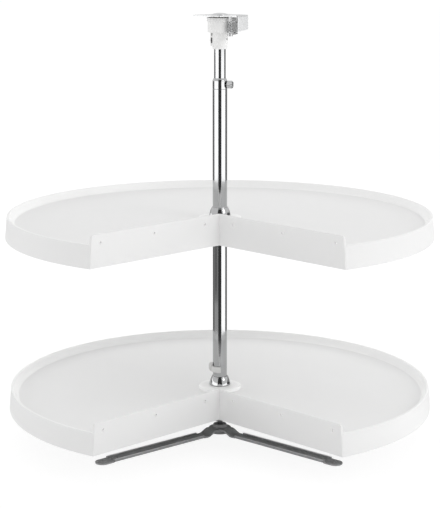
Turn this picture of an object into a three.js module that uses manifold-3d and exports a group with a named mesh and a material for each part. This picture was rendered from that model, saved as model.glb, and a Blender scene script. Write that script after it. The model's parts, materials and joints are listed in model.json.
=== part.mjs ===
// Corner carousel: two pie-cut trays on a telescoping pole that turns between a floor bracket
// and a top plate. Millimetres, +Z up. The origin is on the floor, on the pole's axis. The notch
// of the trays opens towards -Y.
import * as THREE from 'three';
import { mergeVertices } from 'three/addons/utils/BufferGeometryUtils.js';
import Module from 'manifold-3d';

const wasm = await Module();
wasm.setup();

// ---------------------------------------------------------------- driving dimensions

const seatGap = 0.3;             // left between pieces that rest on or run in each other

// Trays
const trayRadius = 355.6;        // at the foot of the skirt, 28 in across
const skirtDraft = 3.2;          // the skirt's top is this much smaller in radius
const skirtWall = 3;
const rimHeight = 36.3;
const rimWidth = 4.5;            // flat top of the rim
const rimLean = 5;               // how far the inside of the rim slopes in
const rimFillet = 5;             // inside corner between rim and floor
const rimCrown = 2.5;            // solid plastic under the rim's top
const floorDrop = 13;            // floor below the rim's top
const floorWall = 3;
const notchApex = 111.2;         // from the pole's axis to the notch's inner corner
const notchWallHeight = 51;
const notchWall = 3.5;
const notchWallCorner = 4;       // rounded outer top corner of a notch wall
const lowerTrayLevel = 56;       // foot of the lower tray's skirt above the floor
const traySpacing = 290.7;
const ribWall = 2.2;
const ribDepth = 9;
const ribCount = 12;
const ringRibRadius = 190;
const trayHubRadius = 35.5;
const trayHubRise = 5.5;         // hub above the tray's floor
const trayHubTubeRadius = 19;
const trayHubTubeLift = 2;       // end of the hub's tube above the skirt's foot

// Holes in the notch walls, where the doors are screwed on
const doorHoleRadius = 2.2;
const doorHoleHeight = 38;
const doorHoleStart = 31;        // from the notch's inner corner, along the wall
const doorHoleEnd = 21.2;        // last hole, from the wall's outer end
const doorHoleCount = 3;

// Poles
const poleRadius = 12;
const poleWall = 1.2;
const poleFootLevel = 24.8;
const innerPoleRadius = 9.525;   // 3/4 in tube
const innerPoleWall = 1;
const lockSleeveLevel = 587;
const lockSleeveHeight = 17.5;
const lockSleeveChamfer = 3.4;
const lockSleeveSpigot = 25;     // length inside the main pole
const innerPoleReach = 150;      // length of inner pole below the lock sleeve's foot

// Collars, seat rings and the clip
const collarHeight = 15;
const collarFootRadius = 18;
const collarWaistRadius = 16.6;
const collarShoulderRadius = 15;
const collarTopRadius = 13.4;
const setScrewRadius = 2.4;
const setScrewHeight = 4.6;
const setScrewProud = 1;
const setScrewTurn = -35;        // degrees from +X, towards the front
const seatRingHeight = 9;
const seatRingRadius = 18;
const seatPinRadius = 2;
const clipHeight = 10;
const clipWall = 3;
const clipLevel = 57;            // clip's middle above the lower tray's foot
const clipLobeReach = 19;
const clipLobeWidth = 8;
const clipLobeRise = 5;

// Floor bracket
const bracketSheet = 2.5;
const armLength = 262;           // from the axis to the rounded tip
const armWidth = 24;
const armHalfSpread = 48.5;      // degrees between an arm and the front
const armLipHeight = 2.8;
const armLipWall = 1.8;
const armLipStart = 38;
const armLipEnd = 22;            // where the lip ends, back from the tip
const eyeRadius = 19;
const eyeLevel = 6.5;            // underside of the raised eye
const rampFoot = 33;             // radius where the ramp meets the floor
const armSlotFromTip = 13;
const armSlotLength = 12;
const armSlotRadius = 2.6;
const armHolesFromTip = [30.5, 40.5];
const armHoleRadius = 2.2;

// Pivot at the floor
const pivotFootRadius = 16;
const pivotFootHeight = 6.2;
const pivotBossRadius = 11.5;
const pivotBossHeight = 6;
const pivotSpigotRadius = 7;
const studRadius = 4;
const studHeadRadius = 8;
const studHeadHeight = 2.2;
const studHeight = 34;
const ballRadius = 3.5;
const plugFlange = 2.5;
const plugLength = 24;

// Thumb screw
const thumbTurn = -20;           // degrees from +X, towards the front
const thumbRise = 7.3;           // above the lock sleeve's foot
const thumbShankRadius = 2.5;
const knobRadius = 6.5;
const knobLength = 9;
const knobStandOff = 1.2;
const knobFlutes = 12;
const knobFluteRadius = 0.9;

// Cam hub
const innerPoleShown = 47.5;     // bare inner pole between the lock sleeve and the hub
const hubSleeveHeight = 27;
const hubSleeveRadius = 13;
const hubSleeveTaper = 1.4;
const camHeight = 17;
const camRadius = 20;
const camFlangeHeight = 7;
const camFlangeRadius = 21.3;
const camNotchRadius = 5.5;
const camNotchDepth = 3;
const innerPoleSeat = 11;        // how far the tube's end reaches into the cam
const pocketBossReach = 15.5;
const pocketBossWidth = 10;
const pocketWidth = 6;
const pocketHeight = 9;
const pocketLevel = 9.5;         // foot of the pocket above the sleeve's foot
const pocketRoof = 3;            // wall over the pocket, under the window
const windowHeight = 4;
const windowWidth = 3;
const clampScrewRadius = 1.9;
const crossPinRadius = 1.5;
const crossPinLevel = 16;        // above the sleeve's foot
const crossPinTurn = -25;

// Top plate and detent, in axes turned so that the plate's edges lie along them
const plateTurn = -45;
const plateSheet = 1.6;
const plateHalf = 31;
const plateReach = 34;           // the side with the folded flange is longer
const spacerHeight = 1.8;
const spacerRadius = 11;
const plateHoleRadius = 2.4;
const plateHoleInset = 8;
const flangeDrop = 27;
const flangeStart = 9.2;
const returnWidth = 10.5;
const reliefRadius = 1.4;
const topPinRadius = 4;
const topPinHeadRadius = 13;
const topPinHeadHeight = 3.5;
const topPinSeatDepth = 0.5;     // shallow seat for the head in the plate's top
const topPinReach = 10;          // below the hub's top
const postRadius = 2.6;
const postTurn = -52;            // degrees from +X
const postOffset = 27;
const postHeadRadius = 4.6;
const postHeadHeight = 2;
const armSheet = 2.5;
const armWidthSmall = 9;
const rollerRadius = 4.5;
const rollerHeight = 14;
const rollerTurn = 5;
const axleRadius = 1.8;
const axleHeadRadius = 2.8;
const axleHeadHeight = 1.2;
const coilRadius = 4.2;          // to the middle of the wire
const coilWire = 1.6;
const coilTurns = 6;
const coilPitch = 2.7;
const coilLeg = 6;

// Facets
const fine = 72;
const round = 32;
const small = 14;

// ---------------------------------------------------------------- levels that follow

const upperTrayLevel = lowerTrayLevel + traySpacing;
const trayFloorLevel = rimHeight - floorDrop;
const trayHubTop = trayFloorLevel + trayHubRise;
const poleBore = poleRadius - poleWall;
const poleHole = poleRadius + seatGap;
const innerPoleFoot = lockSleeveLevel - innerPoleReach;
const thumbLevel = lockSleeveLevel + thumbRise;
const hubFoot = lockSleeveLevel + lockSleeveHeight + innerPoleShown;
const camLevel = hubFoot + hubSleeveHeight;
const hubTop = camLevel + camHeight + camFlangeHeight;
const innerPoleTop = camLevel + innerPoleSeat;
const plateLevel = hubTop + spacerHeight + 2 * seatGap;
const plateTop = plateLevel + plateSheet;
const eyeTop = eyeLevel + bracketSheet;
const bossLevel = eyeTop + seatGap;
const armLevel = camLevel - 0.5 - armSheet;
const rollerOffset = camRadius + seatGap + rollerRadius;
const rad = THREE.MathUtils.degToRad;
const post = polar(postOffset, postTurn);
const rollerCentre = polar(rollerOffset, rollerTurn);

// ---------------------------------------------------------------- finishes

const finish = (color, roughness, metalness) =>
  new THREE.MeshStandardMaterial({ color, roughness, metalness, flatShading: true });
const trayWhite = finish(0xefefed, 0.45, 0);
const hubWhite = finish(0xf2f2f0, 0.4, 0);
const clipGrey = finish(0xcfcfcc, 0.5, 0);
const nylon = finish(0xe2ddd0, 0.5, 0);
const darkPlastic = finish(0x55565a, 0.5, 0);
const chrome = finish(0xdfe1e4, 0.08, 1);
const zincSteel = finish(0xc8cacc, 0.35, 1);
const bracketSteel = finish(0x6b6d70, 0.4, 1);
const screwSteel = finish(0x7c7e82, 0.35, 1);
const springSteel = finish(0x9c9ea2, 0.3, 1);

// ---------------------------------------------------------------- shape tools

function polar(radius, degrees) {
  const angle = THREE.MathUtils.degToRad(degrees);
  return { x: radius * Math.cos(angle), y: radius * Math.sin(angle) };
}

// Welds a closed three.js geometry and turns it into a solid with its faces outwards.
function toSolid(geometry) {
  const bare = new THREE.BufferGeometry();
  bare.setAttribute('position', geometry.getAttribute('position').clone());
  if (geometry.index) bare.setIndex(geometry.index.clone());
  const welded = mergeVertices(bare, 1e-4);
  const points = welded.getAttribute('position').array;
  const corners = welded.index.array;
  const kept = [];
  for (let i = 0; i < corners.length; i += 3) {
    const [a, b, c] = [corners[i], corners[i + 1], corners[i + 2]];
    if (a !== b && b !== c && c !== a) kept.push([a, b, c]);
  }
  const at = (i) => new THREE.Vector3(points[3 * i], points[3 * i + 1], points[3 * i + 2]);
  const volume = kept.reduce((sum, [a, b, c]) => sum + at(a).dot(at(b).cross(at(c))), 0);
  const outward = volume > 0 ? kept : kept.map(([a, b, c]) => [a, c, b]);
  const triVerts = new Uint32Array(outward.flat());
  const vertProperties = new Float32Array(points);
  return new wasm.Manifold(new wasm.Mesh({ numProp: 3, vertProperties, triVerts }));
}

function fromSolid(solid) {
  const mesh = solid.getMesh();
  const geometry = new THREE.BufferGeometry();
  geometry.setAttribute('position', new THREE.BufferAttribute(mesh.vertProperties, 3));
  geometry.setIndex(new THREE.BufferAttribute(mesh.triVerts, 1));
  return geometry;
}

const join = (...pieces) => fromSolid(pieces.map(toSolid).reduce((a, b) => a.add(b)));
const cut = (piece, ...tools) => fromSolid(tools.map(toSolid).reduce((a, b) => a.subtract(b), toSolid(piece)));
const common = (piece, region) => fromSolid(toSolid(piece).intersect(toSolid(region)));

// Solid of revolution about Z from a closed outline of [radius, height] points.
function turned(outline, segments = round) {
  const points = outline.map(([radius, height]) => new THREE.Vector2(radius, height));
  points.push(points[0].clone());
  return new THREE.LatheGeometry(points, segments).rotateX(Math.PI / 2);
}

const disc = (radius, low, high, segments = round) =>
  turned([[0, low], [radius, low], [radius, high], [0, high]], segments);

const ring = (outer, inner, low, high, segments = round) =>
  turned([[inner, low], [outer, low], [outer, high], [inner, high]], segments);

// Prism between two heights, from a three.js shape in XY.
function prism(shape, low, high, segments = 8) {
  const settings = { depth: high - low, bevelEnabled: false, curveSegments: segments };
  return new THREE.ExtrudeGeometry(shape, settings).translate(0, 0, low);
}

const polygon = (points) => new THREE.Shape(points.map(([x, y]) => new THREE.Vector2(x, y)));

const block = (x0, x1, y0, y1, z0, z1) =>
  new THREE.BoxGeometry(x1 - x0, y1 - y0, z1 - z0).translate((x0 + x1) / 2, (y0 + y1) / 2, (z0 + z1) / 2);

const turn = (geometry, degrees) => geometry.rotateZ(rad(degrees));

// Round bar that lies along X between two distances, at one height, turned about Z.
const radialBar = (radius, from, to, height, degrees, segments = small) =>
  turn(disc(radius, from, to, segments).rotateY(Math.PI / 2).translate(0, 0, height), degrees);

// Slot or capsule outline between two points.
function capsule(a, b, radius) {
  const along = Math.atan2(b.y - a.y, b.x - a.x);
  const shape = new THREE.Shape();
  shape.absarc(b.x, b.y, radius, along - Math.PI / 2, along + Math.PI / 2, false);
  shape.absarc(a.x, a.y, radius, along + Math.PI / 2, along + 1.5 * Math.PI, false);
  return shape;
}

const model = new THREE.Group();
model.name = 'corner_carousel';

function add(name, geometry, material) {
  const mesh = new THREE.Mesh(fromSolid(toSolid(geometry)), material);
  mesh.name = name;
  model.add(mesh);
}

// ---------------------------------------------------------------- floor bracket and pivot

// Side outline of an arm, from the raised eye down the ramp to the tip, given its width in Y.
function armStrip() {
  const rampTop = eyeRadius + 1;
  const shift = bracketSheet * 0.45;
  const outline = polygon([
    [0, eyeLevel], [rampTop, eyeLevel], [rampFoot, 0], [armLength, 0],
    [armLength, bracketSheet], [rampFoot + shift, bracketSheet],
    [rampTop + shift, eyeTop], [0, eyeTop],
  ]);
  const strip = prism(outline, -armWidth / 2, armWidth / 2).rotateX(Math.PI / 2);
  const tip = { x: armLength - armWidth / 2, y: 0 };
  const plan = prism(capsule({ x: 0, y: 0 }, tip, armWidth / 2), -1, eyeTop + 1);
  return common(strip, plan);
}

// Upturned edge of an arm.
function armLip(side) {
  const foot = bracketSheet - 0.3;
  const top = bracketSheet + armLipHeight;
  const end = armLength - armLipEnd;
  const outline = polygon([[armLipStart, foot], [end, foot], [end - 5, top], [armLipStart + 5, top]]);
  const middle = side * (armWidth - armLipWall) / 2;
  return prism(outline, -armLipWall / 2, armLipWall / 2).rotateX(Math.PI / 2).translate(0, middle, 0);
}

function bracketArm(degrees) {
  const slotMiddle = armLength - armSlotFromTip;
  const half = armSlotLength / 2 - armSlotRadius;
  const slot = capsule({ x: slotMiddle - half, y: 0 }, { x: slotMiddle + half, y: 0 }, armSlotRadius);
  const tools = [prism(slot, -1, bracketSheet + 1)];
  for (const fromTip of armHolesFromTip) {
    tools.push(disc(armHoleRadius, -1, bracketSheet + 1, small).translate(armLength - fromTip, 0, 0));
  }
  return turn(cut(join(armStrip(), armLip(1), armLip(-1)), ...tools), degrees);
}

function addFloorBracket() {
  const eye = disc(eyeRadius, eyeLevel, eyeTop);
  const arms = [-90 - armHalfSpread, -90 + armHalfSpread].map(bracketArm);
  const bore = disc(pivotSpigotRadius + seatGap, -1, eyeTop + 1);
  add('base_bracket', cut(join(eye, ...arms), bore), bracketSteel);
}

function addFloorPivot() {
  const bore = studRadius + seatGap;
  const headRoom = studHeadRadius + seatGap;
  const headTop = studHeadHeight + seatGap;
  add('pivot_foot', turned([
    [headRoom, 0], [pivotFootRadius, 0], [pivotFootRadius, pivotFootHeight - 1],
    [pivotFootRadius - 1, pivotFootHeight], [bore, pivotFootHeight], [bore, headTop], [headRoom, headTop],
  ]), darkPlastic);
  const bossTop = bossLevel + pivotBossHeight;
  add('pivot_boss', turned([
    [bore, pivotFootHeight + seatGap], [pivotSpigotRadius, pivotFootHeight + seatGap],
    [pivotSpigotRadius, bossLevel], [pivotBossRadius, bossLevel], [pivotBossRadius, bossTop - 1.2],
    [pivotBossRadius - 1.2, bossTop], [bore, bossTop],
  ]), darkPlastic);
  add('pivot_stud', turned([
    [0, 0], [studHeadRadius, 0], [studHeadRadius, studHeadHeight], [studRadius, studHeadHeight],
    [studRadius, studHeight - 1], [studRadius - 1, studHeight], [0, studHeight],
  ], 32), screwSteel);
  const ballLevel = studHeight + seatGap + ballRadius;
  add('bearing_ball', new THREE.SphereGeometry(ballRadius, 16, 10).rotateX(Math.PI / 2)
    .translate(0, 0, ballLevel), springSteel);
}

// ---------------------------------------------------------------- poles

function addPoles() {
  const flangeLevel = poleFootLevel - seatGap - plugFlange;
  const plugTop = poleFootLevel + plugLength;
  const plugBore = studRadius + seatGap;
  const blindTop = studHeight + 2 * ballRadius + 2 * seatGap;
  add('pole_foot_plug', turned([
    [plugBore, flangeLevel], [poleRadius, flangeLevel], [poleRadius, flangeLevel + plugFlange],
    [poleBore - seatGap, flangeLevel + plugFlange], [poleBore - seatGap, plugTop - 1],
    [poleBore - seatGap - 1, plugTop], [0, plugTop], [0, blindTop], [plugBore, blindTop],
  ], 32), nylon);

  const poleTop = lockSleeveLevel - seatGap;
  const pinHoles = [lowerTrayLevel, upperTrayLevel].map((level) =>
    radialBar(seatPinRadius + seatGap, -poleRadius - 1, poleRadius + 1, seatPinLevel(level), 0));
  add('main_pole', cut(ring(poleRadius, poleBore, poleFootLevel, poleTop), ...pinHoles), chrome);

  const sleeveTop = lockSleeveLevel + lockSleeveHeight;
  const sleeveBore = innerPoleRadius + seatGap;
  const sleeve = turned([
    [sleeveBore, lockSleeveLevel - lockSleeveSpigot],
    [poleBore - seatGap, lockSleeveLevel - lockSleeveSpigot], [poleBore - seatGap, lockSleeveLevel],
    [poleRadius, lockSleeveLevel], [poleRadius, sleeveTop - lockSleeveChamfer],
    [sleeveBore + 0.5, sleeveTop], [sleeveBore, sleeveTop],
  ]);
  const screwHole = radialBar(thumbShankRadius + seatGap, 0, poleRadius + 1, thumbLevel, thumbTurn);
  add('lock_sleeve', cut(sleeve, screwHole), chrome);

  const crossHole = hubCrossBar(crossPinRadius + seatGap);
  add('inner_pole', cut(ring(innerPoleRadius, innerPoleRadius - innerPoleWall, innerPoleFoot, innerPoleTop),
    crossHole), chrome);
  const footPlugRadius = innerPoleRadius - innerPoleWall - seatGap;
  add('inner_pole_foot', turned([
    [0, innerPoleFoot - 5], [poleBore - seatGap, innerPoleFoot - 5],
    [poleBore - seatGap, innerPoleFoot - seatGap], [footPlugRadius, innerPoleFoot - seatGap],
    [footPlugRadius, innerPoleFoot + 14], [footPlugRadius - 1, innerPoleFoot + 15], [0, innerPoleFoot + 15],
  ], 32), nylon);
}

// Thumb screw: shank that clamps the inner pole, and a fluted knob.
function addThumbScrew() {
  const shankStart = innerPoleRadius + seatGap;
  const knobStart = poleRadius + knobStandOff;
  const knobEnd = knobStart + knobLength;
  const body = turned([
    [0, shankStart], [thumbShankRadius, shankStart], [thumbShankRadius, knobStart],
    [knobRadius - 1, knobStart], [knobRadius, knobStart + 1], [knobRadius, knobEnd - 1.2],
    [knobRadius - 1.2, knobEnd], [0, knobEnd],
  ], 24);
  const flutes = [];
  for (let i = 0; i < knobFlutes; i += 1) {
    const place = polar(knobRadius + knobFluteRadius * 0.3, (360 / knobFlutes) * i);
    flutes.push(disc(knobFluteRadius, knobStart - 1, knobEnd + 1, 8).translate(place.x, place.y, 0));
  }
  const screw = cut(body, ...flutes).rotateY(Math.PI / 2).translate(0, 0, thumbLevel);
  add('thumb_screw', turn(screw, thumbTurn), chrome);
}

// ---------------------------------------------------------------- trays

const seatPinLevel = (level) => level + trayHubTubeLift - seatGap - seatRingHeight / 2;

const skirtRadiusAt = (height) => trayRadius - (skirtDraft * height) / rimHeight;

// Rim, skirt and floor, turned in one piece about the pole's axis.
function trayPan() {
  const rimOuter = skirtRadiusAt(rimHeight);
  const rimInner = rimOuter - rimWidth;
  const floorEdge = rimInner - rimLean;
  const underside = trayFloorLevel - floorWall;
  const grooveTop = rimHeight - rimCrown;
  const fillet = [];
  for (const share of [0, 0.5, 1]) {
    const angle = (Math.PI / 2) * share;
    fillet.push([
      floorEdge - rimFillet * (1 - Math.sin(angle)),
      trayFloorLevel + rimFillet * (1 - Math.cos(angle)),
    ]);
  }
  const innerWall = 2.6;
  return turned([
    [trayHubTubeRadius - 2, underside], [trayHubTubeRadius - 2, trayFloorLevel],
    ...fillet, [rimInner - 0.8, rimHeight - 1], [rimInner, rimHeight],
    [rimOuter - 0.8, rimHeight], [rimOuter, rimHeight - 0.8], [trayRadius, 0],
    [trayRadius - skirtWall, 0], [skirtRadiusAt(grooveTop) - skirtWall, grooveTop - 6],
    [floorEdge + innerWall, underside],
  ].reverse(), fine);
}

function trayHub() {
  const shoulder = trayHubRadius - 1.5;
  return turned([
    [poleHole, trayHubTubeLift], [trayHubTubeRadius, trayHubTubeLift],
    [trayHubTubeRadius, trayFloorLevel - floorWall / 2], [trayHubRadius, trayFloorLevel - floorWall / 2],
    [trayHubRadius, trayHubTop - 1.8], [shoulder, trayHubTop - 0.6], [collarFootRadius + 2, trayHubTop],
    [poleHole, trayHubTop],
  ]);
}

// Triangle that the notch cuts out, as far as it is drawn.
function notchPrism(low, high) {
  const far = 2 * trayRadius;
  return prism(polygon([[0, -notchApex], [-far, -notchApex - far], [far, -notchApex - far]]), low, high);
}

// One wall of the notch. Its face lies in the notch's side and its outer end in the skirt.
function notchSideWall(side) {
  const length = trayRadius;
  const corner = notchWallCorner;
  const endAt = (height) => notchWallLength() - (skirtDraft * height) / rimHeight;
  const outline = new THREE.Shape();
  outline.moveTo(-notchWall, 0);
  outline.lineTo(length, 0);
  outline.lineTo(length, notchWallHeight - corner);
  outline.lineTo(endAt(notchWallHeight), notchWallHeight - corner);
  outline.absarc(endAt(notchWallHeight) - corner, notchWallHeight - corner, corner, 0, Math.PI / 2, false);
  outline.lineTo(-notchWall, notchWallHeight);
  outline.closePath();
  const plate = prism(outline, 0, notchWall, 4).rotateX(Math.PI / 2).translate(0, notchWall, 0);
  const placed = plate.rotateZ(rad(-45)).translate(0, -notchApex, 0);
  return side > 0 ? placed : placed.scale(-1, 1, 1);
}

function notchWallLength() {
  const half = (-notchApex + Math.sqrt(2 * trayRadius ** 2 - notchApex ** 2)) / 2;
  return half * Math.SQRT2;
}

function doorHoles() {
  const holes = [];
  const pitch = (notchWallLength() - doorHoleStart - doorHoleEnd) / (doorHoleCount - 1);
  for (let i = 0; i < doorHoleCount; i += 1) {
    const along = doorHoleStart + i * pitch;
    for (const side of [-1, 1]) {
      const bar = disc(doorHoleRadius, -notchWall - 2, notchWall + 2, 12).rotateX(Math.PI / 2);
      const place = bar.translate(along, 0, doorHoleHeight).rotateZ(rad(-45)).translate(0, -notchApex, 0);
      holes.push(side > 0 ? place : place.scale(-1, 1, 1));
    }
  }
  return holes;
}

function trayRibs() {
  const underside = trayFloorLevel - floorWall / 2;
  const low = trayFloorLevel - floorWall - ribDepth;
  const ribs = [ring(ringRibRadius + ribWall / 2, ringRibRadius - ribWall / 2, low, underside, 48)];
  for (let i = 0; i < ribCount; i += 1) {
    const end = skirtRadiusAt(low) - skirtWall / 2;
    const rib = block(trayHubTubeRadius - 1, end, -ribWall / 2, ribWall / 2, low, underside);
    ribs.push(turn(rib, (360 / ribCount) * (i + 0.5)));
  }
  return ribs;
}

// The tray with its skirt's foot at height 0.
function trayBody() {
  const outerTop = skirtRadiusAt(notchWallHeight);
  const envelope = turned([[0, 0], [trayRadius, 0], [outerTop, notchWallHeight + 0.01],
    [0, notchWallHeight + 0.01]], fine);
  const bore = disc(poleHole, -1, trayHubTop + 1);
  const pan = cut(join(trayPan(), trayHub(), ...trayRibs()), notchPrism(-1, rimHeight + 1));
  const walls = common(join(notchSideWall(-1), notchSideWall(1)), envelope);
  return cut(join(pan, walls), bore, ...doorHoles());
}

function addTray(prefix, level) {
  add(`${prefix}_tray`, trayBody().translate(0, 0, level), trayWhite);
  addCollar(prefix, level + trayHubTop + seatGap);
  addSeat(prefix, level);
}

// Chromed bell collar on the tray's hub, with its set screw.
function addCollar(prefix, foot) {
  const top = foot + collarHeight;
  const bell = turned([
    [poleHole, foot], [collarFootRadius - 0.6, foot], [collarFootRadius, foot + 0.8],
    [collarWaistRadius, foot + collarHeight * 0.5], [collarShoulderRadius, foot + collarHeight * 0.8],
    [collarTopRadius + 0.5, top - 0.6], [collarTopRadius - 0.2, top], [poleHole, top],
  ]);
  const level = foot + setScrewHeight;
  const tool = radialBar(setScrewRadius + seatGap / 2, 0, collarFootRadius + 2, level, setScrewTurn);
  add(`${prefix}_collar`, cut(bell, tool), chrome);
  const screwEnd = collarFootRadius + setScrewProud;
  const screw = radialBar(setScrewRadius, poleRadius + seatGap, screwEnd, level, setScrewTurn);
  const hexagon = radialBar(setScrewRadius * 0.5, screwEnd - 1.6, screwEnd + 1, level, setScrewTurn, 6);
  add(`${prefix}_collar_screw`, cut(screw, hexagon), screwSteel);
}

// Ring under the tray's hub, held on the pole by a cross pin.
function addSeat(prefix, level) {
  const top = level + trayHubTubeLift - seatGap;
  const foot = top - seatRingHeight;
  const body = turned([
    [poleHole, foot], [seatRingRadius - 1, foot], [seatRingRadius, foot + 1],
    [seatRingRadius, top], [poleHole, top],
  ], 36);
  const pinLevel = seatPinLevel(level);
  const hole = radialBar(seatPinRadius + seatGap, -seatRingRadius - 1, seatRingRadius + 1, pinLevel, 0);
  add(`${prefix}_seat_ring`, cut(body, hole), zincSteel);
  const reach = seatRingRadius - 0.5;
  add(`${prefix}_seat_pin`, radialBar(seatPinRadius, -reach, reach, pinLevel, 0), springSteel);
}

// Snap-on C clip with a lobe at its left end.
function addPoleClip() {
  const level = lowerTrayLevel + clipLevel;
  const inner = poleRadius + seatGap;
  const outer = inner + clipWall;
  const band = new THREE.Shape();
  band.absarc(0, 0, outer, rad(95), rad(277), false);
  band.absarc(0, 0, inner, rad(277), rad(95), true);
  const low = level - clipHeight / 2;
  const strip = prism(band, low, low + clipHeight, 16);
  const lobeOutline = new THREE.Shape();
  const reach = clipLobeReach - inner - 0.5;
  const tall = clipHeight + clipLobeRise;
  lobeOutline.moveTo(0, 0);
  lobeOutline.lineTo(reach * 0.35, 0);
  lobeOutline.quadraticCurveTo(reach, tall * 0.35, reach, tall * 0.7);
  lobeOutline.quadraticCurveTo(reach, tall, reach * 0.5, tall);
  lobeOutline.lineTo(0, tall);
  const lobe = prism(lobeOutline, -clipLobeWidth / 2, clipLobeWidth / 2, 5).rotateX(Math.PI / 2);
  lobe.translate(inner + 0.5, 0, low).scale(-1, 1, 1);
  add('pole_clip', cut(join(strip, lobe), disc(inner, low - 1, low + tall + 1)), clipGrey);
}

// ---------------------------------------------------------------- cam hub

const hubCrossBar = (radius) => {
  const reach = hubSleeveRadius - 0.2;
  return radialBar(radius, -reach, reach, hubFoot + crossPinLevel, crossPinTurn, 16);
};

function addCamHub() {
  const tubeBore = innerPoleRadius + seatGap;
  const pinBore = topPinRadius + seatGap;
  const flangeLevel = camLevel + camHeight;
  const shell = turned([
    [tubeBore, hubFoot], [hubSleeveRadius - hubSleeveTaper, hubFoot],
    [hubSleeveRadius, hubFoot + 9], [hubSleeveRadius, camLevel], [camRadius, camLevel],
    [camRadius, flangeLevel], [camFlangeRadius, flangeLevel], [camFlangeRadius, hubTop - 1],
    [camFlangeRadius - 1, hubTop], [pinBore, hubTop], [pinBore, innerPoleTop + seatGap],
    [tubeBore, innerPoleTop + seatGap],
  ], 40);
  const bossFoot = hubFoot + 5;
  const bossEnd = -pocketBossReach;
  const half = pocketBossWidth / 2;
  const boss = block(bossEnd, -tubeBore - 1, -half, half, bossFoot, camLevel + 1);
  const bore = disc(tubeBore, hubFoot - 1, innerPoleTop + seatGap);
  const pocketFoot = hubFoot + pocketLevel;
  const pocketTop = pocketFoot + pocketHeight;
  const pocketIn = bossEnd + 0.9;
  const pocketOut = pocketIn + pocketWidth - 1.9;
  const pocket = block(pocketIn, pocketOut, -half - 1, half + 1, pocketFoot, pocketTop);
  const windowFoot = pocketTop + pocketRoof;
  const window = block(pocketIn + 0.6, pocketIn + windowWidth, -half - 1, 0, windowFoot, windowFoot + windowHeight);
  const screwLevel = (pocketFoot + pocketTop) / 2;
  const screwHole = radialBar(clampScrewRadius + seatGap, -pocketBossReach - 1, -innerPoleRadius, screwLevel, 0);
  const notchPlace = polar(camRadius - camNotchDepth + camNotchRadius, rollerTurn);
  const notch = disc(camNotchRadius, camLevel - 1, flangeLevel, 24).translate(notchPlace.x, notchPlace.y, 0);
  const crossHole = hubCrossBar(crossPinRadius + seatGap / 2).scale(1.1, 1.1, 1);
  add('cam_hub', cut(join(shell, boss), bore, pocket, window, screwHole, notch, crossHole), hubWhite);
  add('hub_cross_pin', hubCrossBar(crossPinRadius), screwSteel);

  const screwEnd = pocketBossReach + 0.4;
  const screw = radialBar(clampScrewRadius, innerPoleRadius + seatGap, screwEnd, screwLevel, 180);
  const slotCut = block(-screwEnd - 1, -screwEnd + 1, -0.4, 0.4, screwLevel - 3, screwLevel + 3);
  add('hub_clamp_screw', cut(screw, slotCut), screwSteel);
}

// ---------------------------------------------------------------- top plate and detent

function addTopPlate() {
  const inset = plateHalf - plateHoleInset;
  const sheet = block(-plateHalf, plateHalf, -plateHalf, plateReach, plateLevel, plateTop);
  const flangeFoot = plateTop - flangeDrop;
  const flangeInner = plateHalf - plateSheet;
  const flangeOutline = polygon([
    [flangeStart, flangeFoot], [plateReach, flangeFoot + 3], [plateReach, plateTop], [flangeStart, plateTop],
  ]);
  const flange = prism(flangeOutline, 0, plateSheet).rotateX(Math.PI / 2).rotateZ(Math.PI / 2)
    .translate(flangeInner, 0, 0);
  const returnPlate = block(plateHalf - returnWidth, plateHalf, flangeStart, flangeStart + plateSheet,
    flangeFoot, plateTop - plateSheet - reliefRadius);
  const relief = disc(reliefRadius, -2, 2 * plateSheet, 12).rotateX(Math.PI / 2)
    .translate(plateHalf - returnWidth + 4, flangeStart, plateLevel - 3.4);
  const holes = [[-inset, -inset], [-inset, inset], [inset, -inset], [inset - 4, plateReach - 6]].map(([x, y]) =>
    disc(plateHoleRadius, plateLevel - 1, plateTop + 1, small).translate(x, y, 0));
  const body = cut(join(sheet, flange, returnPlate), relief, ...holes);
  const placed = turn(body, plateTurn);
  const pinHole = disc(topPinRadius + seatGap, plateLevel - 1, plateTop + 1);
  const headSeat = disc(topPinHeadRadius + seatGap, plateTop - topPinSeatDepth, plateTop + 1);
  const postHole = disc(postRadius + seatGap / 2, plateLevel - 1, plateTop + 1, small)
    .translate(post.x, post.y, 0);
  add('top_plate', cut(placed, pinHole, headSeat, postHole), zincSteel);
}

function addTopPivot() {
  const head = plateTop - topPinSeatDepth + seatGap;
  const headTop = head + topPinHeadHeight;
  add('top_pivot_pin', turned([
    [0, hubTop - topPinReach], [topPinRadius - 1, hubTop - topPinReach],
    [topPinRadius, hubTop - topPinReach + 1], [topPinRadius, head], [topPinHeadRadius, head],
    [topPinHeadRadius, head + 0.8], [topPinHeadRadius * 0.85, headTop - 0.9],
    [topPinHeadRadius * 0.5, headTop - 0.2], [0, headTop],
  ]), zincSteel);
  const low = hubTop + seatGap;
  add('pivot_spacer', ring(spacerRadius, topPinRadius + seatGap, low, low + spacerHeight), nylon);
}

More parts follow.
